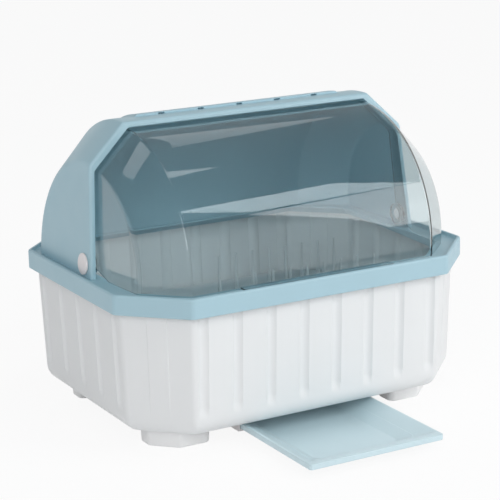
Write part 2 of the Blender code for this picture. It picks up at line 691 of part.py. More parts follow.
def lid_wedge(inset, extra_deg):
    """A closed wedge turned about the pivot line from the lid's section."""
    side, crease = inset_section((LID_SIDE_X, LID_SIDE_RADIUS), (LID_CREASE_X, LID_CREASE_RADIUS),
                                 inset, taper=LID_SIDE_TAPER)
    axis_x = side[0] + LID_SIDE_TAPER * side[1]
    shape = bmesh.new()
    left = shape.verts.new((-axis_x, 0, 0))
    right = shape.verts.new((axis_x, 0, 0))
    start = LID_START_DEG - extra_deg
    end = LID_END_DEG + extra_deg
    rings = []
    for i in range(LID_STEPS + 1):
        angle = math.radians(start + (end - start) * i / LID_STEPS)
        fore = -math.cos(angle)
        rise = math.sin(angle)
        rings.append([shape.verts.new((x, radius * fore, radius * rise)) for x, radius in
                      ((-side[0], side[1]), (-crease[0], crease[1]), crease, side)])
    for first, second in zip(rings, rings[1:]):
        for i in range(3):
            shape.faces.new((first[i], first[i + 1], second[i + 1], second[i]))
        shape.faces.new((left, first[0], second[0]))
        shape.faces.new((right, first[3], second[3]))
    shape.faces.new([left] + rings[0] + [right])
    shape.faces.new([left] + rings[-1] + [right])
    return shape


def make_lid(carrier):
    """The clear lid, drawn about the pivot line: a turned shell with ears and a finger tab."""
    lid = add_object("front_lid", lid_wedge(0.0, 0.0), carrier, plastic("lid_plastic", CLEAR, 0.05, 0.35))
    combine(lid, add_object("lid_hollow_cut", lid_wedge(LID_WALL, LID_CUT_EXTRA_DEG), carrier), "DIFFERENCE")
    foot_z = SEAT_Z - PIVOT_Z
    reach = LID_CREASE_RADIUS + TAB_REACH
    below = box((-RIM_HALF_WIDTH, -reach, -reach), (RIM_HALF_WIDTH, reach, foot_z))
    combine(lid, add_object("lid_foot_cut", below, carrier), "DIFFERENCE")
    front_y = -math.sqrt(LID_CREASE_RADIUS ** 2 - foot_z ** 2)
    tab = box((-TAB_HALF_WIDTH, front_y - TAB_REACH, foot_z + TAB_RISE),
              (TAB_HALF_WIDTH, front_y + JOIN_OVERLAP, foot_z + TAB_RISE + TAB_WALL))
    combine(lid, add_object("lid_tab", tab, carrier), "UNION")
    for side in (-1, 1):
        ear = turned([(side * EAR_INNER_X, EAR_RADIUS), (side * EAR_OUTER_X, EAR_RADIUS)], "X")
        combine(lid, add_object("lid_ear_%d" % side, ear, carrier), "UNION")
        recess = turned([(side * (EAR_INNER_X - CUT_OVERRUN), EAR_RECESS_RADIUS),
                         (side * EAR_RECESS_X, EAR_RECESS_RADIUS)], "X")
        combine(lid, add_object("lid_recess_cut_%d" % side, recess, carrier), "DIFFERENCE")
    bore = turned([(-RIM_HALF_WIDTH, PIN_HOLE_RADIUS), (RIM_HALF_WIDTH, PIN_HOLE_RADIUS)], "X")
    combine(lid, add_object("lid_pin_cut", bore, carrier), "DIFFERENCE")
    soften(lid, 20)
    return lid


def make_pivot(word, side, carrier):
    """A pivot on one side: a capped pin from outside, a washer, and a clip on the pin's inner end."""
    clip_face = EAR_RECESS_X - SEAT_GAP
    clip_end = clip_face - CLIP_LENGTH
    pin_end = clip_end + CLIP_END_WALL + SEAT_GAP
    cap_face = HOOD_HALF_WIDTH + SEAT_GAP
    rings = []
    for along, radius, lean in ((pin_end, PIN_RADIUS, 0.0), (cap_face, PIN_RADIUS, HOOD_SIDE_DRAFT),
                                (cap_face, CAP_RADIUS, HOOD_SIDE_DRAFT),
                                (cap_face + CAP_THICKNESS - CAP_EDGE, CAP_RADIUS, HOOD_SIDE_DRAFT),
                                (cap_face + CAP_THICKNESS, CAP_RADIUS - CAP_EDGE, HOOD_SIDE_DRAFT)):
        ring = []
        for i in range(TURN_STEPS):
            angle = 2 * math.pi * i / TURN_STEPS
            z = radius * math.sin(angle)
            ring.append((side * (along - lean * z), radius * math.cos(angle), z))
        rings.append(ring)
    pin = add_object(word + "_pivot_pin", loft(rings), carrier, plastic(word + "_pin_plastic", WHITE, 0.3))
    near = side * (EAR_OUTER_X + SEAT_GAP)
    far = side * (BOSS_FACE_X - SEAT_GAP)
    washer = turned([(near, PIN_HOLE_RADIUS), (near, WASHER_RADIUS), (far, WASHER_RADIUS),
                     (far, PIN_HOLE_RADIUS)], "X", closed=True)
    add_object(word + "_pivot_washer", washer, carrier, plastic(word + "_washer_plastic", WHITE, 0.5))
    clip = turned([(side * (clip_end + CLIP_END_WALL), PIN_HOLE_RADIUS), (side * clip_face, PIN_HOLE_RADIUS),
                   (side * clip_face, CLIP_RADIUS), (side * (clip_end + CLIP_EDGE), CLIP_RADIUS),
                   (side * clip_end, CLIP_RADIUS - CLIP_EDGE)], "X")
    add_object(word + "_pivot_clip", clip, carrier, plastic(word + "_clip_plastic", WHITE, 0.4))
    for item in bpy.data.objects:
        if item.parent == carrier and item.name.startswith(word + "_pivot"):
            soften(item, 35)
    return pin


def make_tray(carrier):
    """The drip tray, drawn with its front edge on the slide's zero: a pan with sloping sides in a rim."""
    top = TRAY_HEIGHT
    under = top - PAN_RIM_WALL
    floor = top - PAN_DEPTH
    ledge_z = top - PAN_LEDGE_SHARE * PAN_DEPTH
    ledge = PAN_RIM + PAN_LEDGE_SHARE * (PAN_SLOPE_RUN - PAN_LEDGE)
    slope_end = PAN_RIM + PAN_SLOPE_RUN
    levels = ((slope_end - PAN_UNDER_LEAD, PAN_FRONT_LIP, floor - TRAY_FLOOR, PAN_FLOOR_RADIUS),
              (PAN_RIM - PAN_UNDER_LEAD / 2, PAN_FRONT_LIP, under, PAN_TOP_RADIUS),
              (TRAY_WALL, 0.0, under, TRAY_CORNER_RADIUS - TRAY_WALL / 2),
              (TRAY_WALL, 0.0, 0.0, TRAY_CORNER_RADIUS - TRAY_WALL / 2),
              (TRAY_EDGE, 0.0, 0.0, TRAY_CORNER_RADIUS), (0.0, 0.0, TRAY_EDGE, TRAY_CORNER_RADIUS),
              (0.0, 0.0, top, TRAY_CORNER_RADIUS), (PAN_RIM, PAN_FRONT_LIP, top, PAN_TOP_RADIUS),
              (ledge, PAN_FRONT_LIP, ledge_z, PAN_FLOOR_RADIUS),
              (ledge + PAN_LEDGE, PAN_FRONT_LIP, ledge_z, PAN_FLOOR_RADIUS),
              (slope_end, PAN_FRONT_LIP, floor, PAN_FLOOR_RADIUS))
    rings = []
    for inset, lip, z, radius in levels:
        outline = rounded_plan(TRAY_HALF_WIDTH - inset, inset + lip, TRAY_LENGTH - inset, radius)
        rings.append(at_height(outline, z))
    tray = add_object("drip_tray", loft(rings), carrier, plastic("tray_plastic", PALE_BLUE, 0.35))
    soften(tray, 30)
    return tray


def make_runner(word, side, carrier):
    """A runner under the tub: a channel that holds the tray's edge, with a stop at the rear."""
    top = TUB_BOTTOM_Z - SEAT_GAP
    web_x = TRAY_HALF_WIDTH + RUNNER_SIDE_GAP
    outer_x = web_x + RUNNER_WALL
    under_z = TRAY_Z - SEAT_GAP
    bottom_z = under_z - RUNNER_WALL
    inner_x = web_x - RUNNER_LIP
    section = [(inner_x, bottom_z), (outer_x, bottom_z), (outer_x, top - RUNNER_WALL),
               (outer_x + RUNNER_FLANGE, top - RUNNER_WALL), (outer_x + RUNNER_FLANGE, top),
               (inner_x, top), (inner_x, top - RUNNER_WALL), (web_x, top - RUNNER_WALL),
               (web_x, under_z), (inner_x, under_z)]
    rings = [[(side * x, y, z) for x, z in section] for y in (-RUNNER_FRONT, RUNNER_REAR)]
    runner = add_object(word + "_tray_runner", loft(rings), carrier,
                        plastic(word + "_runner_plastic", WHITE, 0.4))
    near = web_x - RUNNER_STOP_REACH
    far = web_x + RUNNER_STOP_SINK
    stop = box((min(side * near, side * far), RUNNER_REAR - RUNNER_STOP, under_z - RUNNER_STOP_SINK),
               (max(side * near, side * far), RUNNER_REAR - RUNNER_STOP_SINK,
                top - RUNNER_WALL + RUNNER_STOP_SINK))
    combine(runner, add_object(word + "_runner_stop", stop, carrier), "UNION")
    return runner


def rack_inset():
    """How far the rack stands inside the collar's outline, clear of the tub's grooves."""
    return tub_inset(RACK_TOP_Z - RACK_SKIRT) + TUB_WALL + GROOVE_DEPTH + RACK_CLEARANCE


def slot_places(half_length, slot, pitch):
    """Centres of the slots that fit along one way of the rack."""
    return spaced_within((half_length - rack_inset() - RACK_SLOT_MARGIN) * 2 - slot, pitch)


def bar_y(count):
    """The middle of a bar between two rows of slots, counted from the rearmost bar."""
    rows = slot_places(RIM_HALF_DEPTH, RACK_SLOT_WIDTH, RACK_SLOT_ROW_PITCH)
    return rows[-1] - (count + 1 / 2) * RACK_SLOT_ROW_PITCH


def make_rack(carrier):
    """The drain rack: a slotted board with a short skirt, standing on four legs in the tub."""
    inset = rack_inset()
    columns = slot_places(RIM_HALF_WIDTH, RACK_SLOT_LENGTH, RACK_SLOT_COLUMN_PITCH)
    rows = slot_places(RIM_HALF_DEPTH, RACK_SLOT_WIDTH, RACK_SLOT_ROW_PITCH)
    under_z = RACK_TOP_Z - RACK_WALL
    skirt_z = RACK_TOP_Z - RACK_SKIRT
    rings = [at_height(plan(inset), RACK_TOP_Z), at_height(plan(inset), skirt_z),
             at_height(plan(inset + RACK_WALL), skirt_z), at_height(plan(inset + RACK_WALL), under_z)]
    rack = add_object("drain_rack", loft(rings), carrier, plastic("rack_plastic", WHITE, 0.4))
    slots = bmesh.new()
    for x in columns:
        for y in rows:
            add_box(slots, (x - RACK_SLOT_LENGTH / 2, y - RACK_SLOT_WIDTH / 2, under_z - CUT_OVERRUN),
                    (x + RACK_SLOT_LENGTH / 2, y + RACK_SLOT_WIDTH / 2, RACK_TOP_Z + CUT_OVERRUN))
    combine(rack, add_object("rack_slots_cut", slots, carrier), "DIFFERENCE")
    legs = bmesh.new()
    for x in (columns[0], columns[-1]):
        for y in (-bar_y(0), bar_y(0)):
            add_box(legs, (x - RACK_LEG_HALF, y - RACK_LEG_HALF, TUB_FLOOR_Z + SEAT_GAP),
                    (x + RACK_LEG_HALF, y + RACK_LEG_HALF, under_z + JOIN_OVERLAP))
    combine(rack, add_object("rack_legs", legs, carrier), "UNION")
    return rack


def make_comb(name, y, carrier):
    """A comb on the rack: a base strip with upright tines."""
    base_z = RACK_TOP_Z + SEAT_GAP
    top_z = base_z + COMB_BASE
    centre_x = RIM_HALF_WIDTH - rack_inset() - COMB_SIDE_MARGIN - COMB_HALF_LENGTH
    base = box((centre_x - COMB_HALF_LENGTH, y - COMB_HALF_WIDTH, base_z),
               (centre_x + COMB_HALF_LENGTH, y + COMB_HALF_WIDTH, top_z))
    comb = add_object(name, base, carrier, plastic(name + "_plastic", WHITE, 0.4))
    tines = bmesh.new()
    for x in spaced_within((COMB_HALF_LENGTH - TINE_END_MARGIN) * 2, TINE_PITCH):
        levels = []
        for share, z in ((1.0, top_z - JOIN_OVERLAP), (TINE_TIP_SHARE, top_z + TINE_HEIGHT)):
            half_x = TINE_HALF_THICKNESS * share
            half_y = TINE_HALF_WIDTH * share
            levels.append([tines.verts.new((centre_x + x + dx, y + dy, z)) for dx, dy in
                           ((-half_x, -half_y), (half_x, -half_y), (half_x, half_y), (-half_x, half_y))])
        tines.faces.new(levels[0])
        tines.faces.new(levels[1])
        for i in range(4):
            j = (i + 1) % 4
            tines.faces.new((levels[0][i], levels[0][j], levels[1][j], levels[1][i]))
    combine(comb, add_object(name + "_tines", tines, carrier), "UNION")
    return comb


drainer = axis_empty("drainer", SHIFT_Y, 0)
lid_axis = axis_empty("lid_axis", SHIFT_Y + PIVOT_Y, PIVOT_Z)
tray_slide = axis_empty("tray_slide", SHIFT_Y - RIM_HALF_DEPTH - TRAY_OVERHANG, TRAY_Z)

make_tub(drainer)
for end_word, end_sign in (("front", -1), ("rear", 1)):
    for side_word, side_sign in (("left", -1), ("right", 1)):
        make_foot(end_word + "_" + side_word + "_foot", side_sign, end_sign, drainer)
make_strainer(drainer)
make_collar(drainer)
make_hood(drainer)
make_lid(lid_axis)
for side_word, side_sign in (("left", -1), ("right", 1)):
    make_pivot(side_word, side_sign, lid_axis)
    make_runner(side_word, side_sign, drainer)
make_tray(tray_slide)
make_rack(drainer)
make_comb("front_plate_comb", bar_y(COMB_FRONT_BAR), drainer)
make_comb("rear_plate_comb", bar_y(COMB_REAR_BAR), drainer)
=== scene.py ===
# %% [markdown]
# # A covered dish drainer
# The real object is a ribbed white tub on four feet. A pale blue collar sits over its edge and carries
# a fixed blue hood at the rear. A clear lid turns on two pins and swings up inside the hood, and a
# drip tray slides out from under the tub. The solids are already made and packed. This lesson loads
# them as a fixed frame and dresses them: finer shells with round edges, and plastics made of nodes.

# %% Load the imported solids
import json
import math

import bmesh
import bpy
from mathutils import Matrix, Vector


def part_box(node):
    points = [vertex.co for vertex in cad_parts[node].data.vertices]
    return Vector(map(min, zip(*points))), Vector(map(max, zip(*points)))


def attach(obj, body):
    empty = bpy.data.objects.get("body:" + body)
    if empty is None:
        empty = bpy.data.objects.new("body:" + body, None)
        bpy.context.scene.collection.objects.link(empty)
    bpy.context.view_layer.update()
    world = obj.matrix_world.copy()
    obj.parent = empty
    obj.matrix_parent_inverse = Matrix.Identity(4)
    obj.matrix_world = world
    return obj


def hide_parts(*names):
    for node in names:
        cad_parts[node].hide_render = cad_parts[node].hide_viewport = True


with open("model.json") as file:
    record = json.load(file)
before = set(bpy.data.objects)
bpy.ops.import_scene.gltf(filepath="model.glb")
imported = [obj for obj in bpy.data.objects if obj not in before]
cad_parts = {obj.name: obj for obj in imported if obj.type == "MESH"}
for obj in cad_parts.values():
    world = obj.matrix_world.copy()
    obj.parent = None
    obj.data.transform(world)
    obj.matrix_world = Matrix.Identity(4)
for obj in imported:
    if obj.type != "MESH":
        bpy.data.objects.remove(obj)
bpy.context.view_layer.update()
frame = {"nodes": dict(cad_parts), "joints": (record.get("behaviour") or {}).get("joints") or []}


# %% Write helpers for nodes and objects
def feed(tree, node, given):
    """Give a node's inputs plain values, or link them to the outputs of other nodes."""
    for socket, value in given.items():
        if isinstance(value, bpy.types.NodeSocket):
            tree.links.new(value, node.inputs[socket])
        else:
            node.inputs[socket].default_value = value
    return node


def add(tree, kind, given=None, **settings):
    """A new node of a kind, with its settings made and its inputs fed."""
    node = tree.nodes.new(kind)
    for name, value in settings.items():
        setattr(node, name, value)
    return feed(tree, node, given or {})


def calc(tree, operation, first, second):
    """One sum of two sockets or numbers."""
    return add(tree, "ShaderNodeMath", {0: first, 1: second}, operation=operation).outputs[0]


def new_material(name):
    """A new material and its node tree."""
    material = bpy.data.materials.new(name)
    material.use_nodes = True
    return material, material.node_tree


def add_object(name, data):
    """A new object in the scene."""
    made = bpy.data.objects.new(name, data)
    bpy.context.scene.collection.objects.link(made)
    return made


print("The helpers for nodes are ready")

# %% [markdown]
# ## The camera
# A product photograph is often taken from far away with a long lens, so that straight edges stay
# nearly parallel. The place and lens here were worked out from corners whose real places are known.
# A camera looks along its own -Z, so its matrix is built from three directions: right, up and back.

# %% Place the camera
VIEW_TURN = math.radians(29.267)
VIEW_DROP = math.radians(14.828)
VIEW_ROLL = math.radians(-1.188)
VIEW_DISTANCE = 2.3485
VIEW_TARGET = Vector((0.0054, 0.0545, 0.1917))
LENS = 130.53
SENSOR_WIDTH = 36.0

forward = Vector((math.sin(VIEW_TURN) * math.cos(VIEW_DROP),
                  math.cos(VIEW_TURN) * math.cos(VIEW_DROP), -math.sin(VIEW_DROP)))
level_right = Vector((math.cos(VIEW_TURN), -math.sin(VIEW_TURN), 0))
level_up = level_right.cross(forward)
right = level_right * math.cos(VIEW_ROLL) + level_up * math.sin(VIEW_ROLL)
up = level_up * math.cos(VIEW_ROLL) - level_right * math.sin(VIEW_ROLL)
camera_data = bpy.data.cameras.new("photo_camera")
camera_data.lens = LENS
camera_data.sensor_width = SENSOR_WIDTH
camera = add_object("photo_camera", camera_data)
camera.matrix_world = Matrix.Translation(VIEW_TARGET - forward * VIEW_DISTANCE) @ Matrix(
    (right, up, -forward)).transposed().to_4x4()
bpy.context.scene.camera = camera
bpy.context.scene.view_settings.view_transform = "Standard"
print("The camera stands at", [round(value, 3) for value in camera.location])

# %% [markdown]
# ## Light and background
# The studio is plain. White paper runs from the floor up behind the object, and above it the room is
# dim, which is why clear and glossy plastic looks dark where it mirrors the ceiling. A gradient by
# height gives the world both. A Light Path node tells apart the rays that should see this room, those
# of the camera and of mirrors and clear plastic, from the light that falls on the object.

# %% Light the world
WHITE = (1.0, 1.0, 1.0, 1.0)
FILL_COLOUR = (0.97, 0.985, 1.0, 1.0)
FILL_LEVEL = 0.42
CEILING_LEVEL = 0.30
PAPER_TOP = 0.28
PAPER_FADE = 0.42


def seen_directly(tree):
    """A value of 1 for the camera's rays, and for mirrored and clear rays that met nothing dull."""
    path = add(tree, "ShaderNodeLightPath").outputs
    total = path["Is Camera Ray"]
    for name in ("Is Glossy Ray", "Is Transmission Ray"):
        total = calc(tree, "MAXIMUM", total, path[name])
    return calc(tree, "MULTIPLY", total, calc(tree, "LESS_THAN", path["Diffuse Depth"], 0.5))


def by_height(tree, low, high, low_level, high_level):
    """A level that changes smoothly with the height of a direction."""
    direction = add(tree, "ShaderNodeTexCoord").outputs["Generated"]
    height = add(tree, "ShaderNodeSeparateXYZ", {0: direction}).outputs["Z"]
    return add(tree, "ShaderNodeMapRange",
               {"Value": height, "From Min": low, "From Max": high, "To Min": low_level,
                "To Max": high_level}, interpolation_type="SMOOTHSTEP").outputs[0]


world = bpy.data.worlds.new("studio")
bpy.context.scene.world = world
world.use_nodes = True
tree = world.node_tree
even = feed(tree, tree.nodes["Background"], {"Color": FILL_COLOUR, "Strength": FILL_LEVEL})
paper_level = by_height(tree, PAPER_TOP, PAPER_FADE, 1.0, CEILING_LEVEL)
page = add(tree, "ShaderNodeBackground", {"Color": WHITE, "Strength": paper_level})
choose = add(tree, "ShaderNodeMixShader", {0: seen_directly(tree), 1: even.outputs[0], 2: page.outputs[0]})
feed(tree, tree.nodes["World Output"], {"Surface": choose.outputs[0]})
print("The world has", len(tree.nodes), "nodes")

# %% [markdown]
# ## The lamps
# A large softbox on the right gives the front its light and its sheen. One on the left keeps that side
# open, and one above lights all that faces up. A small one, higher in front, draws the edge of the
# tub's shadow on the tray, and mirrors don't see it. Area lights give soft edges by their size.

# %% Place the lamps
LAMP_TARGET = Vector((0.0, 0.0, 0.2))
LAMPS = (("right_softbox", (1.9, -1.75, 1.1), 1.4, 21.0, True),
         ("left_softbox", (-1.75, -2.3, 1.5), 1.5, 25.0, True),
         ("key_softbox", (1.35, -1.75, 2.0), 0.5, 7.0, False),
         ("top_softbox", (0.4, -0.3, 2.7), 1.0, 7.0, True))

for name, place, size, watts, mirrored_too in LAMPS:
    lamp_data = bpy.data.lights.new(name, "AREA")
    lamp_data.energy = watts
    lamp_data.size = size
    lamp = add_object(name, lamp_data)
    lamp.location = place
    lamp.rotation_euler = (Vector(place) - LAMP_TARGET).to_track_quat("Z", "Y").to_euler()
    lamp.visible_glossy = mirrored_too
    print(name, "gives", watts, "W")

# %% [markdown]
# ## The mirrored windows
# The clear lid mirrors two window shapes from high behind it: a long band on its top and a short one
# on its left slope. They are glowing quads that only mirrors see, so they light nothing else.

# %% Hang the windows
WINDOWS = (("top_window", 1.3,
            ((1.12, 2.05, 2.12), (1.66, 1.80, 2.18), (1.65, 1.72, 2.26), (1.15, 1.20, 2.68))),
           ("slope_window", 2.4,
            ((-1.75, 1.52, 2.40), (-2.07, 0.89, 2.48), (-1.73, 1.38, 2.50), (-1.32, 2.02, 2.26))))

for name, glow, corners in WINDOWS:
    pane = bpy.data.meshes.new(name)
    pane.from_pydata(corners, [], [(0, 1, 2, 3)])
    shine, tree = new_material(name + "_glow")
    tree.nodes.clear()
    glowing = add(tree, "ShaderNodeEmission", {"Strength": glow})
    add(tree, "ShaderNodeOutputMaterial", {"Surface": glowing.outputs[0]})
    pane.materials.append(shine)
    window = add_object(name, pane)
    window.visible_camera = window.visible_diffuse = False
    window.visible_transmission = window.visible_shadow = False
    print(name, "glows at", glow)

# %% [markdown]
# ## Plastic from nodes
# Moulded plastic is never quite even. Its colour and gloss drift a little over a hand's width, and a
# close look shows the fine grain of the mould. One node group makes that skin from noise in object
# space, and each plastic places it with its own numbers. The shader itself stays in the material.

# %% Build the shared node group
NOISE_LOW, NOISE_HIGH = 0.3, 0.7
BROAD_SCALE, PATCH_SCALE = 11.0, 34.0
LINE_SCALE = (260.0, 260.0, 3.0)
GRAIN_SHARE = 0.35


def new_group(name, kind, given, made):
    """A node group with named inputs and outputs, each with the short name of its socket type."""
    tree = bpy.data.node_groups.new(name, kind)
    for label, short, value in given:
        socket = tree.interface.new_socket(label, in_out="INPUT", socket_type="NodeSocket" + short)
        if value is not None:
            socket.default_value = value
    for label, short in made:
        tree.interface.new_socket(label, in_out="OUTPUT", socket_type="NodeSocket" + short)
    return tree, add(tree, "NodeGroupInput").outputs, add(tree, "NodeGroupOutput")


def noise(tree, place, scale, detail):
    """A noise texture on a place, which gives values about one half."""
    texture = add(tree, "ShaderNodeTexNoise", {"Vector": place, "Scale": scale, "Detail": detail})
    return texture.outputs["Fac"]


def spread(tree, value, low, high):
    """Stretch the middle of a noise to the range from low to high."""
    return add(tree, "ShaderNodeMapRange", {"Value": value, "From Min": NOISE_LOW, "From Max": NOISE_HIGH,
                                            "To Min": low, "To Max": high}).outputs[0]


def moulded_skin():
    """Colour, roughness and height of a moulded plastic's surface."""
    tree, given, made = new_group(
        "moulded_skin", "ShaderNodeTree",
        (("Colour", "Color", (0.8, 0.8, 0.8, 1.0)), ("Drift", "Float", 0.03), ("Roughness", "Float", 0.35),
         ("Gloss Drift", "Float", 0.05), ("Grain", "Float", 900.0), ("Draw Lines", "Float", 0.0)),
        (("Colour", "Color"), ("Roughness", "Float"), ("Height", "Float")))
    place = add(tree, "ShaderNodeTexCoord").outputs["Object"]
    broad = noise(tree, place, BROAD_SCALE, 2.0)
    value = spread(tree, broad, calc(tree, "SUBTRACT", 1.0, given["Drift"]), 1.0)
    shade = add(tree, "ShaderNodeHueSaturation", {"Color": given["Colour"], "Value": value})
    patches = spread(tree, noise(tree, place, PATCH_SCALE, 3.0), -1.0, 1.0)
    rough = calc(tree, "ADD", given["Roughness"], calc(tree, "MULTIPLY", patches, given["Gloss Drift"]))
    drawn = add(tree, "ShaderNodeMapping", {"Vector": place, "Scale": LINE_SCALE})
    lines = calc(tree, "MULTIPLY", noise(tree, drawn.outputs[0], 1.0, 1.0), given["Draw Lines"])
    grain = calc(tree, "MULTIPLY", noise(tree, place, given["Grain"], 2.0), GRAIN_SHARE)
    height = calc(tree, "ADD", grain, lines)
    feed(tree, made, {"Colour": shade.outputs[0], "Roughness": rough, "Height": height})
    return tree


SKIN = moulded_skin()
print("The skin group has", len(SKIN.nodes), "nodes")

# %% [markdown]
# ## The plastics
# The colours are written as linear values, as they would be measured under even white light. The tub's
# white leans a little to blue, the frame is a pale duck-egg blue, the tray is paler still, and the rack
# is a duller white. The Principled shader keeps its own plain numbers, and the group feeds what varies.

# %% Make the opaque plastics
GLOSS_DRIFT = 0.05
GRAIN_SCALE = 900.0
GRAIN_DEPTH = 0.00003
GRAIN_STRENGTH = 0.5


def plastic(name, colour, roughness, sheen=0.5, drift=0.03, draw_lines=0.0):
    """A moulded plastic with the shared skin. A sheen of 0.5 is bare plastic."""
    material, tree = new_material(name)
    skin = add(tree, "ShaderNodeGroup",
               {"Colour": (*colour, 1.0), "Drift": drift, "Roughness": roughness, "Gloss Drift": GLOSS_DRIFT,
                "Grain": GRAIN_SCALE, "Draw Lines": draw_lines}, node_tree=SKIN).outputs
    bump = add(tree, "ShaderNodeBump",
               {"Strength": GRAIN_STRENGTH, "Distance": GRAIN_DEPTH, "Height": skin["Height"]})
    feed(tree, tree.nodes["Principled BSDF"],
         {"Specular IOR Level": sheen, "Base Color": skin["Colour"], "Roughness": skin["Roughness"],
          "Normal": bump.outputs["Normal"]})
    return material


TUB_WHITE = plastic("tub_white_plastic", (0.85, 0.86, 0.865), 0.42, drift=0.02, draw_lines=0.5)
FOOT_WHITE = plastic("foot_white_plastic", (0.95, 0.95, 0.95), 0.42)
FRAME_BLUE = plastic("frame_blue_plastic", (0.385, 0.585, 0.67), 0.46, sheen=1.0)
TRAY_BLUE = plastic("tray_blue_plastic", (0.64, 0.805, 0.86), 0.36, sheen=0.9)
FITTING_WHITE = plastic("fitting_white_plastic", (0.90, 0.85, 0.85), 0.34)
RACK_WHITE = plastic("rack_white_plastic", (0.74, 0.76, 0.77), 0.45, drift=0.04)
print("The opaque plastics are made")

# %% [markdown]
# ## The clear lid's plastic
# Clear plastic bends what is behind it and mirrors the room a little. Its faint blue-grey colour shows
# most where two walls lie one behind the other. Lamps can't find their way through a bending surface,
# so a Light Path node lets their rays straight through with the same faint colour.

# %% Make the clear plastic
CLEAR_ROUGHNESS = 0.02
CLEAR_IOR = 1.46
WAVE_SCALE = 9.0
WAVE_STRENGTH = 0.3
WAVE_DEPTH = 0.0006


def clear_plastic(name, colour):
    """Clear plastic that lets the lamps' light through."""
    material, tree = new_material(name)
    place = add(tree, "ShaderNodeTexCoord").outputs["Object"]
    bump = add(tree, "ShaderNodeBump", {"Strength": WAVE_STRENGTH, "Distance": WAVE_DEPTH,
                                        "Height": noise(tree, place, WAVE_SCALE, 1.0)})
    shader = feed(tree, tree.nodes["Principled BSDF"],
                  {"Base Color": (*colour, 1.0), "Transmission Weight": 1.0, "Roughness": CLEAR_ROUGHNESS,
                   "IOR": CLEAR_IOR, "Normal": bump.outputs["Normal"]})
    passing = add(tree, "ShaderNodeBsdfTransparent", {"Color": (*colour, 1.0)})
    path = add(tree, "ShaderNodeLightPath").outputs
    mix = add(tree, "ShaderNodeMixShader",
              {0: path["Is Shadow Ray"], 1: shader.outputs[0], 2: passing.outputs[0]})
    feed(tree, tree.nodes["Material Output"], {"Surface": mix.outputs[0]})
    return material


CLEAR_LID = clear_plastic("clear_lid_plastic", (0.70, 0.765, 0.78))
print("The clear plastic is made")

# %% [markdown]
# ## Helpers for moulded shells
# Most pieces here are skins of points: rings that follow each other, joined by faces. A helper rounds
# the corners of an outline with arcs, because a moulded edge is never sharp. Other helpers cut or join
# shapes with Boolean modifiers, round the edges that are left, and turn the result into a plain mesh.

# %% Make points and skins
TURN_STEPS = 48
FULL_TURN = [(math.cos(2 * math.pi * i / TURN_STEPS), math.sin(2 * math.pi * i / TURN_STEPS))
             for i in range(TURN_STEPS)]


def arc_at(before, corner, after, radius, steps):
    """The points of an arc that rounds one corner of an outline."""
    back = (Vector(before) - Vector(corner)).normalized()
    ahead = (Vector(after) - Vector(corner)).normalized()
    half = back.angle(ahead) / 2
    centre = Vector(corner) + (back + ahead).normalized() * radius / math.sin(half)
    start = Vector(corner) + back * radius / math.tan(half) - centre
    end = Vector(corner) + ahead * radius / math.tan(half) - centre
    turn = math.atan2(start.x * end.y - start.y * end.x, start.dot(end))
    points = []
    for i in range(steps + 1):
        angle = turn * i / steps
        points.append((centre.x + start.x * math.cos(angle) - start.y * math.sin(angle),
                       centre.y + start.x * math.sin(angle) + start.y * math.cos(angle)))
    return points


def rounded(points, radius, steps):
    """A closed outline with all its corners rounded."""
    ring = []
    for i, corner in enumerate(points):
        ring.extend(arc_at(points[i - 1], corner, points[(i + 1) % len(points)], radius, steps))
    return ring


def rounded_path(points, radii, steps):
    """An open path with its inner corners rounded."""
    path = [tuple(points[0])]
    for i, radius in enumerate(radii, 1):
        path.extend(arc_at(points[i - 1], points[i], points[i + 1], radius, steps))
    return path + [tuple(points[-1])]


def at_height(points, z):
    """Points of an outline, lifted to a height."""
    return [(point[0], point[1], z) for point in points]


def skin_rings(rings, closed=False, cap=True):
    """Join equal rings of points into one skin. The ends are capped, or meet each other."""
    shape = bmesh.new()
    levels = [[shape.verts.new(point) for point in ring] for ring in rings]
    pairs = list(zip(levels, levels[1:]))
    if closed:
        pairs.append((levels[-1], levels[0]))
    elif cap:
        shape.faces.new(levels[0])
        shape.faces.new(levels[-1])
    for lower, upper in pairs:
        for i in range(len(lower)):
            j = (i + 1) % len(lower)
            shape.faces.new((lower[i], lower[j], upper[j], upper[i]))
    return shape


def join_arches(shape, rings):
    """Join equal rows of vertices that are open at their ends."""
    for fore, aft in zip(rings, rings[1:]):
        for i in range(len(fore) - 1):
            shape.faces.new((fore[i], fore[i + 1], aft[i + 1], aft[i]))


def rectangle(left, front, right, rear):
    """The corners of a rectangle, anticlockwise from its front left corner."""
    return [(left, front), (right, front), (right, rear), (left, rear)]


def prism(outline, low_z, high_z):
    """A closed upright shape with one outline."""
    return skin_rings([at_height(outline, low_z), at_height(outline, high_z)])


def box_shape(low, high):
    """One closed box between two corners."""
    return prism(rectangle(low[0], low[1], high[0], high[1]), low[2], high[2])


print("A full turn has", TURN_STEPS, "steps")

# %% Make plain meshes and place them
MERGE_DISTANCE = 0.00002
FLAT_WEIGHT = 60


def new_piece(name, shape, material=None):
    """Turn a bmesh into an object with its faces pointing outwards."""
    bmesh.ops.recalc_face_normals(shape, faces=shape.faces)
    mesh = bpy.data.meshes.new(name)
    shape.to_mesh(mesh)
    shape.free()
    if material:
        mesh.materials.append(material)
    return add_object(name, mesh)


def settle(piece):
    """Turn a piece with modifiers into a plain mesh."""
    bpy.context.view_layer.update()
    graph = bpy.context.evaluated_depsgraph_get()
    mesh = bpy.data.meshes.new_from_object(piece.evaluated_get(graph))
    piece.modifiers.clear()
    piece.data = mesh
    return piece


def combine(piece, operation, shape):
    """Cut a shape out of a piece, or join one to it."""
    tool = new_piece("tool", shape)
    change = piece.modifiers.new("combine", "BOOLEAN")
    change.operation = operation
    change.object = tool
    change.solver = "EXACT"
    settle(piece)
    bpy.data.objects.remove(tool, do_unlink=True)


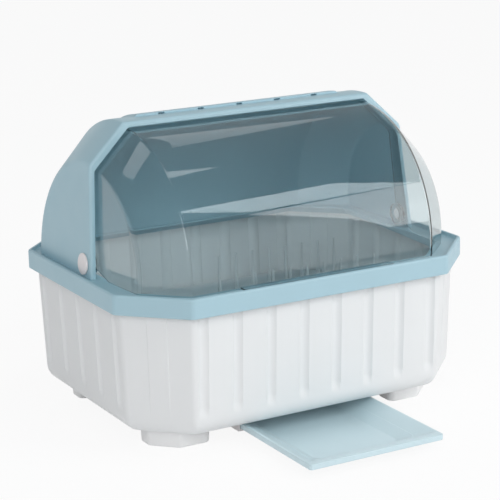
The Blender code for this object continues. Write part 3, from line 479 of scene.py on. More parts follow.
def round_edges(piece, width=0.0, segments=3, angle=35.0, smooth=35.0):
    """Round the sharp edges of a piece, and shade it smooth with its flats kept flat."""
    shape = bmesh.new()
    shape.from_mesh(piece.data)
    bmesh.ops.remove_doubles(shape, verts=shape.verts, dist=MERGE_DISTANCE)
    bmesh.ops.dissolve_degenerate(shape, edges=shape.edges, dist=MERGE_DISTANCE)
    shape.to_mesh(piece.data)
    shape.free()
    if width > 0:
        bevel = piece.modifiers.new("edges", "BEVEL")
        bevel.width = width
        bevel.segments = segments
        bevel.limit_method = "ANGLE"
        bevel.angle_limit = math.radians(angle)
        settle(piece)
    piece.data.shade_smooth()
    piece.data.set_sharp_from_angle(angle=math.radians(smooth))
    weighted = piece.modifiers.new("flats", "WEIGHTED_NORMAL")
    weighted.keep_sharp = True
    weighted.weight = FLAT_WEIGHT
    return settle(piece)


def place_piece(piece, body, slot, *nodes):
    """Put a finished piece on its body and hide the solids that it stands for. Its slot is not used."""
    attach(piece, body)
    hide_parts(*nodes)
    print(piece.name, "has", len(piece.data.polygons), "faces")


# %% [markdown]
# ## The outline that everything follows
# Seen from above, the collar is a rectangle with cut corners. Tub, rack and opening follow it at an
# even distance, so one function gives them all. When such an outline moves in, its cut corners get
# shorter by a fixed share of the move, which keeps the distance even there too.

# %% Measure the collar and make outlines
collar_low, collar_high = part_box("rim_collar")
HALF_WIDTH = collar_high.x
HALF_DEPTH = (collar_high.y - collar_low.y) / 2
MIDDLE_Y = (collar_high.y + collar_low.y) / 2
CORNER_LEG = 0.070
CORNER_SHARE = 2 - math.sqrt(2)
SEAT_GAP = 0.0003
CUT_OVERRUN = 0.004
JOIN_OVERLAP = 0.001


def cut_corners(half_width, front, rear, leg):
    """A rectangle with cut corners, anticlockwise from its front left corner."""
    return [(-half_width + leg, front), (half_width - leg, front), (half_width, front + leg),
            (half_width, rear - leg), (half_width - leg, rear), (-half_width + leg, rear),
            (-half_width, rear - leg), (-half_width, front + leg)]


def plan(inset):
    """The collar's outline, moved in by an even distance."""
    return cut_corners(HALF_WIDTH - inset, MIDDLE_Y - HALF_DEPTH + inset, MIDDLE_Y + HALF_DEPTH - inset,
                       CORNER_LEG - CORNER_SHARE * inset)


print("The collar is", round(HALF_WIDTH * 2000), "by", round(HALF_DEPTH * 2000), "mm")

# %% [markdown]
# ## The tub
# The tub is one white shell. Shallow round coves stiffen its walls: eight on the front and the rear
# and five on each side. Each cut corner has one low raised panel. The wall leans in a little towards
# the floor, so that it leaves the mould, and ends in a round bottom edge. Rings of points are best here,
# because each ring can carry the coves' hollows, and the hollows can fade out above that edge.

# %% Measure the tub
tub_low, tub_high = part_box("tub")
TUB_WALL = 0.0025
TUB_FLOOR = 0.0025
TUB_TOP_INSET = 0.010
TUB_DRAFT = 0.037
TUB_ROUND = 0.022
TUB_FLANGE = 0.0025
TUB_FLANGE_INSET = 0.0028
TUB_CORNER = 0.0105
CORNER_STEPS = 6
ROUND_STEPS = 8
LEVEL_STEPS = 6
COVE_WIDTH = 0.0140
COVE_DEPTH = 0.0034
COVE_STEPS = 12
COVE_END = tub_low.z + TUB_ROUND + 0.016
COVE_RADIUS = (COVE_WIDTH ** 2 / 4 + COVE_DEPTH ** 2) / (2 * COVE_DEPTH)
COVE_PLACES = [i / COVE_STEPS - 0.5 for i in range(COVE_STEPS + 1)]
COVE_SHARES = [(across, 1 - (COVE_RADIUS - math.sqrt(COVE_RADIUS ** 2 - (across * COVE_WIDTH) ** 2))
                / COVE_DEPTH) for across in COVE_PLACES]
FRONT_PLACES = [(i - 3.5) * 0.0462 for i in range(8)]
SIDE_PLACES = [(i - 2) * 0.0519 for i in range(5)]
PANEL_HALF = 0.0125
PANEL_STEP = 0.0016
PANEL_RISE = 0.0010
PANEL_SHARES = ((-1.0, -0.5, 0.0), (-1.0, -0.2, 0.15), (-1.0, 0.2, 0.85), (-1.0, 0.5, 1.0), (0.0, 0.0, 1.1),
                (1.0, -0.5, 1.0), (1.0, -0.2, 0.85), (1.0, 0.2, 0.15), (1.0, 0.5, 0.0))
DRAIN_Y = MIDDLE_Y - 0.060
DRAIN_RADIUS = 0.0178
print("The tub is", round((tub_high.z - tub_low.z) * 1000, 1), "mm high")


# %% Shape the tub
def tub_inset(z):
    """How far the leaning wall stands inside the collar's outline."""
    return TUB_TOP_INSET + TUB_DRAFT * (tub_high.z - z)


def tub_ring(inset, z, depth_share, widen=0.0, squeeze=1.0):
    """One level of the wall: round corners, coves on the four sides and panels on the cut corners."""
    corners = [Vector(point) for point in plan(inset)]
    points = []
    for i, corner in enumerate(corners):
        after = corners[(i + 1) % 8]
        points.extend(Vector(point) for point in
                      arc_at(corners[i - 1], corner, after, TUB_CORNER - widen * 0.5, CORNER_STEPS))
        along = (after - corner).normalized()
        inward = Vector((-along.y, along.x))
        middle = (corner + after) / 2
        if i % 2:
            for end, step, rise in PANEL_SHARES:
                place = (end * PANEL_HALF + step * PANEL_STEP) * squeeze
                points.append(middle + along * place - inward * rise * PANEL_RISE * depth_share)
            continue
        for centre in (FRONT_PLACES if i % 4 == 0 else SIDE_PLACES):
            for across, down in COVE_SHARES:
                place = (centre + across * (COVE_WIDTH + widen)) * squeeze
                points.append(middle + along * place + inward * down * COVE_DEPTH * depth_share)
    return at_height(points, z)


def tub_skin(wall):
    """A skin's levels from the top down: the wall, the coves' faded ends and the round bottom edge."""
    rings = []
    for i in range(LEVEL_STEPS + 1):
        z = tub_high.z + (COVE_END - tub_high.z) * i / LEVEL_STEPS
        if wall == 0 and i == 0:
            z -= TUB_FLANGE
        rings.append(tub_ring(tub_inset(z) + wall, z, 1.0, wall))
    start_z = tub_low.z + TUB_ROUND
    for i in range(1, LEVEL_STEPS + 1):
        share = i / LEVEL_STEPS
        z = COVE_END + (start_z - COVE_END) * share
        rings.append(tub_ring(tub_inset(z) + wall, z, 1 - share * share * (3 - 2 * share), wall))
    radius = TUB_ROUND - wall
    start_inset = tub_inset(start_z) + wall
    for i in range(1, ROUND_STEPS + 1):
        angle = math.pi / 2 * i / ROUND_STEPS
        inset = start_inset + radius * (1 - math.cos(angle))
        squeeze = plan(inset)[1][0] / plan(start_inset)[1][0]
        rings.append(tub_ring(inset, start_z - radius * math.sin(angle), 0.0, wall, squeeze))
    return rings


def circle(radius, z):
    """A level circle about the drain."""
    return [(radius * along, DRAIN_Y + radius * across, z) for along, across in FULL_TURN]


def fill_between(shape, outer, inner):
    """Fill the flat ring between two loops of vertices."""
    edges = [shape.edges.get((loop[i - 1], loop[i])) or shape.edges.new((loop[i - 1], loop[i]))
             for loop in (outer, inner) for i in range(len(loop))]
    bmesh.ops.triangle_fill(shape, edges=edges, use_beauty=True, use_dissolve=False)


def make_tub():
    """The white tub with its drain hole."""
    flange = [tub_ring(TUB_FLANGE_INSET, z, 0.0) for z in (tub_high.z, tub_high.z - TUB_FLANGE)]
    rings = tub_skin(TUB_WALL)[::-1] + flange + tub_skin(0.0)
    shape = skin_rings(rings, cap=False)
    shape.verts.ensure_lookup_table()
    count = len(rings[0])
    floor_loop, under_loop = shape.verts[:count], shape.verts[len(shape.verts) - count:]
    upper, lower = ([shape.verts.new(point) for point in circle(DRAIN_RADIUS, z)]
                    for z in (tub_low.z + TUB_FLOOR, tub_low.z))
    for i in range(len(upper)):
        shape.faces.new((upper[i - 1], upper[i], lower[i], lower[i - 1]))
    fill_between(shape, floor_loop, upper)
    fill_between(shape, under_loop, lower)
    return round_edges(new_piece("ribbed_tub", shape, TUB_WHITE))


place_piece(make_tub(), "drainer", "tub_white", "tub")

# %% [markdown]
# ## The feet
# Four low blocks under the cut corners carry the tub. Their outline is the cut corner itself, a little
# smaller at the floor, with a soft lower edge. Lofting a few rounded rings gives that in one go.

# %% Shape the feet
FOOT_LEG = 0.029
FOOT_DEPTH = 0.054
FOOT_WIDTH = 0.0715
FOOT_CORNER = 0.008
FOOT_STEPS = 4
FOOT_LEVELS = ((0.0022, 0.0), (0.0010, 0.0004), (0.0003, 0.0012), (0.0001, 0.0024), (-0.0008, 0.0190),
               (-0.0016, 0.0206), (-0.0028, 0.0222), (-0.0032, 0.0232))


def make_foot(name, node, side, end):
    """One corner foot. Side is -1 on the left and end is -1 at the front."""
    low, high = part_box(node)
    x = max(abs(low.x), abs(high.x))
    y = max(abs(low.y - MIDDLE_Y), abs(high.y - MIDDLE_Y))
    outline = [(x, y - FOOT_DEPTH), (x, y - FOOT_LEG), (x - FOOT_LEG, y), (x - FOOT_WIDTH, y),
               (x - FOOT_WIDTH, y - FOOT_LEG), (x - FOOT_LEG, y - FOOT_DEPTH)]
    ring = [Vector(point) for point in rounded(outline, FOOT_CORNER, FOOT_STEPS)]
    centre = sum(ring, Vector((0, 0))) / len(ring)
    rings = []
    for inset, z in FOOT_LEVELS:
        moved = [centre + (point - centre) * (1 - inset / (point - centre).length) for point in ring]
        rings.append([(side * point.x, MIDDLE_Y + end * point.y, z) for point in moved])
    return round_edges(new_piece(name, skin_rings(rings), FOOT_WHITE), smooth=40.0)


for end_word, end in (("front", -1), ("rear", 1)):
    for side_word, side in (("left", -1), ("right", 1)):
        node = end_word + "_" + side_word + "_foot"
        place_piece(make_foot("corner_" + node, node, side, end), "drainer", "tub_white", node)

# %% [markdown]
# ## The collar
# The blue collar hangs over the tub's edge. Its section is a hook: an outer skirt, a raised lip, a
# sunken deck, and a short wall that drops into the opening at the front and sides. The section is
# walked once round the outline, so each point of it becomes a ring, and the last ring meets the first.

# %% Measure the collar's section
DECK_Z = collar_high.z - 0.005
DECK_UNDER_Z = DECK_Z - 0.0025
LIP_WIDTH = 0.0045
LIP_ROUND = 0.0028
LIP_STEPS = 4
SKIRT_WALL = 0.0025
SKIRT_EDGE = 0.0006
COLLAR_CORNER = 0.0095
OPENING_CORNER = 0.005
OPENING_HALF_WIDTH = HALF_WIDTH - 0.032
OPENING_FRONT = MIDDLE_Y - HALF_DEPTH + 0.031
OPENING_REAR = MIDDLE_Y + HALF_DEPTH - 0.0385
OPENING_LEG = 0.0513
DROP_END_Y = OPENING_REAR - OPENING_LEG - 0.001
DROP_FADE = 0.006
INNER_DROP = 0.0085
INNER_WALL = 0.002
TRAP_INSET = 0.0172
TRAP_WALL = 0.002
TRAP_DROP = 0.010
# Insets from the lip's inner edge with heights above the deck, then insets of the opening with
# heights above the deck's underside and drops of the inner wall.
LIP_EDGE = ((-0.0010, 0.0050), (-0.0002, 0.0046), (0.0001, 0.0039), (0.0007, 0.0014), (0.0012, 0.0005),
            (0.0021, 0.0))
OPENING_EDGE = ((-0.0012, 0.0025, 0.0), (-0.0004, 0.0022, 0.0), (0.0, 0.0014, 0.0),
                (0.0, 0.0004, INNER_DROP - 0.0003), (-0.0005, 0.0, INNER_DROP),
                (-INNER_WALL + 0.0005, 0.0, INNER_DROP), (-INNER_WALL, 0.0001, INNER_DROP - 0.0005),
                (-INNER_WALL - 0.0001, 0.0, 0.0))
UNDER_EDGE = ((TRAP_INSET + TRAP_WALL, 0.0), (TRAP_INSET + TRAP_WALL, TRAP_DROP), (TRAP_INSET, TRAP_DROP),
              (TRAP_INSET, 0.0), (SKIRT_WALL, 0.0), (SKIRT_WALL, DECK_UNDER_Z - collar_low.z))
print("The deck lies at", round(DECK_Z * 1000, 1), "mm")


# %% Shape the collar
def opening_ring(inset, z, dropped):
    """A ring of the opening. It drops at the front and sides, and stays level at the rear."""
    outline = cut_corners(OPENING_HALF_WIDTH - inset, OPENING_FRONT + inset, OPENING_REAR - inset,
                          OPENING_LEG - CORNER_SHARE * inset)
    return [(x, y, z - dropped * min(1.0, max(0.0, (DROP_END_Y - y) / DROP_FADE)))
            for x, y in rounded(outline, OPENING_CORNER, CORNER_STEPS)]


def make_collar():
    """The blue collar over the tub's edge."""
    section = [(SKIRT_EDGE, collar_low.z), (0.0, collar_low.z + SKIRT_EDGE)]
    for i in range(LIP_STEPS + 1):
        angle = math.radians(90 * i / LIP_STEPS)
        section.append((LIP_ROUND * (1 - math.cos(angle)),
                        collar_high.z - LIP_ROUND * (1 - math.sin(angle))))
    section.extend((LIP_WIDTH + inset, DECK_Z + rise) for inset, rise in LIP_EDGE)
    under = [(inset, DECK_UNDER_Z - drop) for inset, drop in UNDER_EDGE]
    outer, inner = ([at_height(rounded(plan(inset), COLLAR_CORNER, CORNER_STEPS), z) for inset, z in part]
                    for part in (section, under))
    opening = [opening_ring(inset, DECK_UNDER_Z + rise, drop) for inset, rise, drop in OPENING_EDGE]
    shape = skin_rings(outer + opening + inner, closed=True)
    return round_edges(new_piece("collar", shape, FRAME_BLUE), smooth=38.0)


place_piece(make_collar(), "drainer", "frame_blue", "rim_collar")

# %% [markdown]
# ## The hood's section
# The hood's top is round about a level axis, and its section has three flats: a side, a slope and a top.
# The side is a flat panel that leans in as it rises. So the section is drawn at the top, its corners
# are rounded, and each ring moves the side part of the section out by how far the panel has leaned.
# The front is a leaning plane, and each radius meets that plane at an angle of its own.

# %% Measure the hood and its pivot
hinge = next(joint for joint in frame["joints"] if joint["name"] == "lid_hinge")
PIVOT_Y, PIVOT_Z = hinge["pos_m"][1], hinge["pos_m"][2]
SEAT_Z = DECK_Z + SEAT_GAP
HOOD_HALF_WIDTH = HALF_WIDTH - 0.0144
HOOD_WALL = 0.0025
HOOD_DRAFT = 0.078
HOOD_CENTRE_Y = PIVOT_Y + 0.010
HOOD_SIDE_RADIUS = 0.1235
HOOD_CREASE = (0.1770, 0.1695)
HOOD_LEAN = 0.104
HOOD_REACH = 0.0305
SHOULDER_ROUND = 0.012
CREASE_ROUND = 0.0065
LEAST_ROUND = 0.002
SECTION_STEPS = 8
FRONT_ROUND = 0.0036
FRONT_STEPS = 5
RING_STEPS = 72
print("The pivot is", round(PIVOT_Z * 1000, 1), "mm up")


# %% Make the hood's closed shapes
def inset_section(side, crease, inset, corner_extra=0.0, taper=0.0):
    """Move a section of side, slope and top inwards by a wall, and return its two new corners."""
    slope = Vector((crease[1] - side[1], side[0] - crease[0])).normalized()
    reach = slope.x * side[0] + slope.y * side[1] - inset - corner_extra
    side_line = side[0] + taper * side[1] - inset * math.hypot(1, taper)
    side_radius = (reach - slope.x * side_line) / (slope.y - slope.x * taper)
    crease_radius = crease[1] - inset
    return (side_line - taper * side_radius, side_radius), ((reach - slope.y * crease_radius) / slope.x,
                                                            crease_radius)


def whole_section(side, crease, inset, taper):
    """A rounded section from left to right, without the points low on its sides."""
    inner = (side[0] + taper * side[1] * 0.5, side[1] * 0.5)
    radii = (max(SHOULDER_ROUND - inset, LEAST_ROUND), max(CREASE_ROUND - inset, LEAST_ROUND))
    half = rounded_path([inner, side, crease, (0.0, crease[1])], radii, SECTION_STEPS)[1:]
    return [(-x, radius) for x, radius in half[:-1]] + half[::-1][1:]


def hood_solid(inset, corner_extra, front_shift, base_z, front_round=0.0):
    """A closed hood shape, moved inwards by a wall. Its front edge can be round."""
    lean = math.atan(HOOD_LEAN)
    top_x = HOOD_HALF_WIDTH - HOOD_DRAFT * HOOD_SIDE_RADIUS
    shape = bmesh.new()
    rings, feet = [], []

    def add_ring(more_inset, more_shift, share, drop_to=None):
        """One ring of the hood. A ring on the front plane also has a foot on both sides."""
        inward = inset + more_inset
        side, crease = inset_section((top_x, HOOD_SIDE_RADIUS), HOOD_CREASE, inward, corner_extra)
        section = whole_section(side, crease, inward, HOOD_DRAFT)
        reach = HOOD_REACH - front_shift - more_shift
        points = []
        for x, radius in section:
            start = lean + math.acos(reach / (radius * math.hypot(1, HOOD_LEAN)))
            angle = start + (math.pi - start) * share
            z = PIVOT_Z + radius * math.sin(angle) if drop_to is None else drop_to
            weight = min(1.0, max(0.0, (crease[1] - radius) / (crease[1] - side[1])))
            leaned = weight * HOOD_DRAFT * (radius - (z - PIVOT_Z))
            wide_x = x + math.copysign(leaned, x) if x else x
            points.append((wide_x, HOOD_CENTRE_Y - radius * math.cos(angle), z))
        if share == 0:
            foot_x = section[-1][0] + HOOD_DRAFT * (section[-1][1] - (base_z - PIVOT_Z))
            foot_y = HOOD_CENTRE_Y - reach + HOOD_LEAN * (base_z - PIVOT_Z)
            feet.append([shape.verts.new((x, foot_y, base_z)) for x in (-foot_x, foot_x)])
        rings.append([shape.verts.new(point) for point in points])

    steps = FRONT_STEPS if front_round > 0 else 0
    for i in range(steps + 1):
        turn = math.pi / 2 * (i / steps if steps else 1.0)
        add_ring(front_round * (1 - math.sin(turn)), front_round * (1 - math.cos(turn)), 0)
    for i in range(1, RING_STEPS + 1):
        add_ring(0.0, front_round, i / RING_STEPS)
    add_ring(0.0, front_round, 1, base_z)
    join_arches(shape, rings)
    for i in range(steps):
        for end in (0, -1):
            shape.faces.new((feet[i][end], feet[i + 1][end], rings[i + 1][end], rings[i][end]))
    shape.faces.new([feet[0][0]] + rings[0] + [feet[0][1]])
    for end in (0, -1):
        shape.faces.new([feet[steps][end]] + [ring[end] for ring in rings[steps:]])
    shape.faces.new([pair[0] for pair in feet] + rings[-1] + [pair[1] for pair in reversed(feet)])
    return shape


print("The hood's shapes have", RING_STEPS, "steps")

# %% [markdown]
# ## Patterns of cuts and copies
# The hood has five vents, the rack has a grid of slots, the combs have rows of tines and the strainer
# has rings of holes. Each is one shape repeated on points, so Geometry Nodes place the copies and cut
# or join them all at once. What the trees share, from the copies to the finish, is one function.


# %% Build the trees for copies
END_SHARE = 0.98


def new_tree(name, *given):
    """A Geometry Nodes tree that takes a mesh, named values and a finish."""
    sockets = (("Geometry", "Geometry"), *given, ("Finish", "Material"))
    return new_group(name, "GeometryNodeTree", [(label, short, None) for label, short in sockets],
                     (("Geometry", "Geometry"),))


def work_copies(tree, given, made, operation, points, copied, scale=(1.0, 1.0, 1.0)):
    """End a tree: copies of a shape on points are cut from its mesh or joined to it, in one finish."""
    copies = add(tree, "GeometryNodeInstanceOnPoints",
                 {"Points": points, "Instance": copied, "Scale": scale})
    tools = add(tree, "GeometryNodeRealizeInstances", {0: copies.outputs[0]})
    change = add(tree, "GeometryNodeMeshBoolean", operation=operation, solver="EXACT")
    feed(tree, change, {"Mesh 1" if operation == "DIFFERENCE" else "Mesh 2": given["Geometry"]})
    feed(tree, change, {"Mesh 2": tools.outputs[0]})
    real = add(tree, "GeometryNodeRealizeInstances", {0: change.outputs["Mesh"]})
    coat = add(tree, "GeometryNodeSetMaterial", {"Geometry": real.outputs[0], "Material": given["Finish"]})
    feed(tree, made, {"Geometry": coat.outputs[0]})
    return tree


def slot_tree():
    """Geometry Nodes that cut a grid of copies of one slot out of a mesh."""
    tree, given, made = new_tree("slot_grid", ("Slot", "Object"), ("Columns", "Int"), ("Rows", "Int"),
                                 ("Column Pitch", "Float"), ("Row Pitch", "Float"), ("Middle", "Vector"))
    grid = add(tree, "GeometryNodeMeshGrid")
    for count, pitch, size, side in (("Columns", "Column Pitch", "Size X", "Vertices X"),
                                     ("Rows", "Row Pitch", "Size Y", "Vertices Y")):
        length = calc(tree, "MULTIPLY", calc(tree, "SUBTRACT", given[count], 1.0), given[pitch])
        feed(tree, grid, {side: given[count], size: length})
    moved = add(tree, "GeometryNodeTransform",
                {"Geometry": grid.outputs["Mesh"], "Translation": given["Middle"]})
    slot = add(tree, "GeometryNodeObjectInfo", {"Object": given["Slot"]})
    return work_copies(tree, given, made, "DIFFERENCE", moved.outputs[0], slot.outputs["Geometry"])


def run_tree(piece, tree, **values):
    """Run a Geometry Nodes tree on a piece with named values, and keep the plain result."""
    change = piece.modifiers.new(tree.name, "NODES")
    change.node_group = tree
    named = {item.name.replace(" ", "_").lower(): item.identifier for item in tree.interface.items_tree
             if item.in_out == "INPUT"}
    for name, value in values.items():
        change[named[name]] = value
    settle(piece)


def slot_shape(length, width, low_z, high_z):
    """A closed upright slot with round ends."""
    half_x, half_y = length / 2, width / 2
    outline = rounded(rectangle(-half_x, -half_y, half_x, half_y), half_y * END_SHARE, CORNER_STEPS)
    return prism(outline, low_z, high_z)


def cut_slots(piece, shape, **values):
    """Cut a grid of slots out of a piece, and drop the slot's shape."""
    slot = new_piece("slot", shape)
    run_tree(piece, SLOT_TREE, slot=slot, **values)
    bpy.data.objects.remove(slot, do_unlink=True)


SLOT_TREE = slot_tree()
print("The slot tree has", len(SLOT_TREE.nodes), "nodes")

# %% [markdown]
# ## The hood
# A shell is one closed shape less a smaller one. A second, narrower shape opens the mouth and leaves a
# flange round it. A boss inside each side carries the pin, and a raised band on top has the vents.

# %% Shape the hood
FLANGE_WIDTH = 0.0060
FLANGE_CORNER = 0.0030
FLANGE_WALL = 0.0025
RIDGE_HALF = 0.150
RIDGE_HEIGHT = 0.0027
RIDGE_SLOPE = 0.006
RIDGE_START = math.radians(94.6)
RIDGE_END = math.radians(110.0)
RIDGE_STEPS = 12
VENT_COUNT = 5
VENT_PITCH = 0.0555
VENT_LENGTH = 0.009
VENT_HEIGHT = 0.0019
VENT_RISE = 0.00115
VENT_DEPTH = 0.0085
VENT_FALL = math.radians(35.0)
BOSS_RADIUS = 0.011
PIN_HOLE = 0.0050
BOSS_FACE_X = HOOD_HALF_WIDTH - HOOD_WALL - 0.0013


def turned(profile, side=1, closed=False, lean=0.0, lean_from=0):
    """Turn a profile of (x, radius) points about the pivot line. From one point on, rings can lean."""
    rings = []
    for i, (x, radius) in enumerate(profile):
        shear = lean if i >= lean_from else 0.0
        rings.append([(side * (x - shear * (radius * rise)), PIVOT_Y + radius * along,
                       PIVOT_Z + radius * rise) for along, rise in FULL_TURN])
    return skin_rings(rings, closed)


def pin_bore():
    """A long tool for the hole that a pin turns in."""
    return turned([(-HALF_WIDTH, PIN_HOLE), (HALF_WIDTH, PIN_HOLE)])


def on_hood(x, radius, angle):
    """A point over the hood's axis."""
    return x, HOOD_CENTRE_Y - radius * math.cos(angle), PIVOT_Z + radius * math.sin(angle)


def ridge_solid():
    """The raised band along the hood's top, with sloping ends."""
    low, high = HOOD_CREASE[1] - JOIN_OVERLAP, HOOD_CREASE[1] + RIDGE_HEIGHT
    section = ((-RIDGE_HALF, low), (-RIDGE_HALF + RIDGE_SLOPE, high), (RIDGE_HALF - RIDGE_SLOPE, high),
               (RIDGE_HALF, low))
    return skin_rings([[on_hood(x, radius, RIDGE_START + (RIDGE_END - RIDGE_START) * i / RIDGE_STEPS)
                        for x, radius in section] for i in range(RIDGE_STEPS + 1)])


def make_hood():
    """The fixed rear hood."""
    below = SEAT_Z - CUT_OVERRUN
    hood = new_piece("hood", hood_solid(0.0, 0.0, 0.0, SEAT_Z, FRONT_ROUND), FRAME_BLUE)
    combine(hood, "DIFFERENCE", hood_solid(HOOD_WALL, 0.0, FLANGE_WALL, below))
    combine(hood, "DIFFERENCE", hood_solid(FLANGE_WIDTH, FLANGE_CORNER, -CUT_OVERRUN, below))
    combine(hood, "UNION", ridge_solid())
    for side in (-1, 1):
        combine(hood, "UNION", turned([(BOSS_FACE_X, BOSS_RADIUS),
                                       (HOOD_HALF_WIDTH - HOOD_WALL + JOIN_OVERLAP, BOSS_RADIUS)], side))
    combine(hood, "DIFFERENCE", pin_bore())
    round_edges(hood, 0.0009, angle=40.0, smooth=32.0)
    vent = slot_shape(VENT_LENGTH, VENT_HEIGHT, -VENT_DEPTH, CUT_OVERRUN)
    bmesh.ops.transform(vent, matrix=Matrix.Rotation(math.pi / 2 - VENT_FALL, 4, "X"), verts=vent.verts)
    cut_slots(hood, vent, columns=VENT_COUNT, rows=1, column_pitch=VENT_PITCH,
              middle=on_hood(0.0, HOOD_CREASE[1] + VENT_RISE, RIDGE_START), finish=FRAME_BLUE)
    return hood


place_piece(make_hood(), "drainer", "frame_blue", "rear_hood")

# %% [markdown]
# ## The lid
# The clear lid is a turned shell: one rounded section swept about the pivot line, with an ear on each
# side for the pin and a finger tab along the front. It stands a few millimetres inside the hood, so it
# can swing back under it. A clear piece has to be one closed wall, or light would bend only once.

# %% Shape the lid
WASHER_THICKNESS = 0.0019
EAR_OUTER_X = BOSS_FACE_X - 2 * SEAT_GAP - WASHER_THICKNESS
EAR_INNER_X = EAR_OUTER_X - 0.0067
EAR_RECESS_X = EAR_OUTER_X - 0.0025
EAR_RADIUS = 0.014
RECESS_RADIUS = 0.0078
LID_AXIS_X = EAR_OUTER_X - 0.0028
LID_TAPER = 0.078
LID_CREASE = (0.1705, 0.1595)
LID_SIDE_RADIUS = 0.1146
LID_WALL = 0.0022
LID_START = -20.0
LID_END = 93.0
LID_CUT_EXTRA = 10.0
LID_STEPS = 96
TAB_HALF = 0.105
TAB_REACH = 0.013
TAB_RISE = 0.001
TAB_WALL = 0.0022


def lid_wedge(inset, extra):
    """A closed wedge turned about the pivot line from the lid's section."""
    side_x = LID_AXIS_X - LID_TAPER * LID_SIDE_RADIUS
    side, crease = inset_section((side_x, LID_SIDE_RADIUS), LID_CREASE, inset, taper=LID_TAPER)
    section = whole_section(side, crease, inset, LID_TAPER)
    axis_x = side[0] + LID_TAPER * side[1]
    shape = bmesh.new()
    ends = [shape.verts.new((x, PIVOT_Y, PIVOT_Z)) for x in (-axis_x, axis_x)]
    rings = []
    for i in range(LID_STEPS + 1):
        angle = math.radians(LID_START - extra + (LID_END - LID_START + 2 * extra) * i / LID_STEPS)
        rings.append([shape.verts.new((x, PIVOT_Y - radius * math.cos(angle),
                                       PIVOT_Z + radius * math.sin(angle))) for x, radius in section])
    for first, second in zip(rings, rings[1:]):
        join_arches(shape, (first, second))
        for end in (0, -1):
            shape.faces.new((ends[end], first[end], second[end]))
    for ring in (rings[0], rings[-1]):
        shape.faces.new([ends[0]] + ring + [ends[1]])
    return shape


def make_lid():
    """The clear lid with its ears and finger tab."""
    lid = new_piece("clear_lid", lid_wedge(0.0, 0.0), CLEAR_LID)
    combine(lid, "DIFFERENCE", lid_wedge(LID_WALL, LID_CUT_EXTRA))
    far = HALF_WIDTH * 2
    combine(lid, "DIFFERENCE", box_shape((-far, -far, -far), (far, far, SEAT_Z)))
    front_y = PIVOT_Y - math.sqrt(LID_CREASE[1] ** 2 - (SEAT_Z - PIVOT_Z) ** 2)
    combine(lid, "UNION", box_shape((-TAB_HALF, front_y - TAB_REACH, SEAT_Z + TAB_RISE),
                                    (TAB_HALF, front_y + JOIN_OVERLAP, SEAT_Z + TAB_RISE + TAB_WALL)))
    for side in (-1, 1):
        combine(lid, "UNION", turned([(EAR_INNER_X, EAR_RADIUS), (EAR_OUTER_X, EAR_RADIUS)], side))
        combine(lid, "DIFFERENCE", turned([(EAR_INNER_X - CUT_OVERRUN, RECESS_RADIUS),
                                           (EAR_RECESS_X, RECESS_RADIUS)], side))
    combine(lid, "DIFFERENCE", pin_bore())
    return round_edges(lid, 0.0004, 2, angle=40.0, smooth=30.0)


place_piece(make_lid(), "lid", "clear_lid", "front_lid")

# %% [markdown]
# ## The pivots
# Each pivot is a white pin with a wide flat cap outside the hood, a washer, and a round clip that
# holds the pin inside the lid's ear. All are turned shapes. The cap lies flat on the leaning side
# panel, so its rings are sheared: each point moves in x by the panel's lean times its height.

# %% Shape the pins, washers and clips
PIN_RADIUS = 0.0047
PIN_EDGE = 0.0006
PIN_TIP_RADIUS = 0.0040
CAP_FACE_X = HOOD_HALF_WIDTH + SEAT_GAP
CAP_RADIUS = 0.0136
CAP_THICKNESS = 0.0026
CAP_EDGE = ((0.0, -0.0003), (0.0003, 0.0), (0.0012, 0.0), (0.0018, -0.0003), (0.0022, -0.0010),
            (0.0024, -0.0022))
CAP_FACE_RADII = (0.006, 0.001)
WASHER_RADIUS = 0.009
CLIP_FACE_X = EAR_RECESS_X - SEAT_GAP
CLIP_END_X = CLIP_FACE_X - 0.0026
CLIP_WALL = 0.0008
CLIP_RADIUS = 0.0070
CLIP_EDGE = ((0.0010, 0.0070), (0.0005, 0.0067), (0.0001, 0.0060), (0.0, 0.0050))


def make_pin(name, side):
    """A capped pin. The cap's edge is round and its face is slightly domed."""
    pin_end = CLIP_END_X + CLIP_WALL + SEAT_GAP
    profile = [(pin_end, PIN_TIP_RADIUS), (pin_end + PIN_EDGE, PIN_RADIUS), (CAP_FACE_X, PIN_RADIUS)]
    profile.extend((CAP_FACE_X + out, CAP_RADIUS + wider) for out, wider in CAP_EDGE)
    profile.extend((CAP_FACE_X + CAP_THICKNESS, radius) for radius in CAP_FACE_RADII)
    shape = turned(profile, side, lean=HOOD_DRAFT, lean_from=2)
    return round_edges(new_piece(name, shape, FITTING_WHITE), smooth=40.0)


def make_washer(name, side):
    """A flat ring between the lid's ear and the hood's boss."""
    near, far = EAR_OUTER_X + SEAT_GAP, BOSS_FACE_X - SEAT_GAP
    profile = [(near, PIN_HOLE), (near, WASHER_RADIUS), (far, WASHER_RADIUS), (far, PIN_HOLE)]
    return round_edges(new_piece(name, turned(profile, side, closed=True), FITTING_WHITE), 0.0003)


def make_clip(name, side):
    """The round clip on the pin's inner end: a low dome with a hollow for the pin."""
    profile = [(CLIP_END_X + CLIP_WALL, PIN_HOLE), (CLIP_FACE_X, PIN_HOLE), (CLIP_FACE_X, CLIP_RADIUS)]
    profile.extend((CLIP_END_X + out, radius) for out, radius in CLIP_EDGE)
    return round_edges(new_piece(name, turned(profile, side), FITTING_WHITE), smooth=40.0)


for side_word, side in (("left", -1), ("right", 1)):
    for make, piece_word, node_word in ((make_pin, "_cap_pin", "_pivot_pin"),
                                        (make_washer, "_pin_washer", "_pivot_washer"),
                                        (make_clip, "_pin_clip", "_pivot_clip")):
        place_piece(make(side_word + piece_word, side), "drainer", "fitting_white", side_word + node_word)

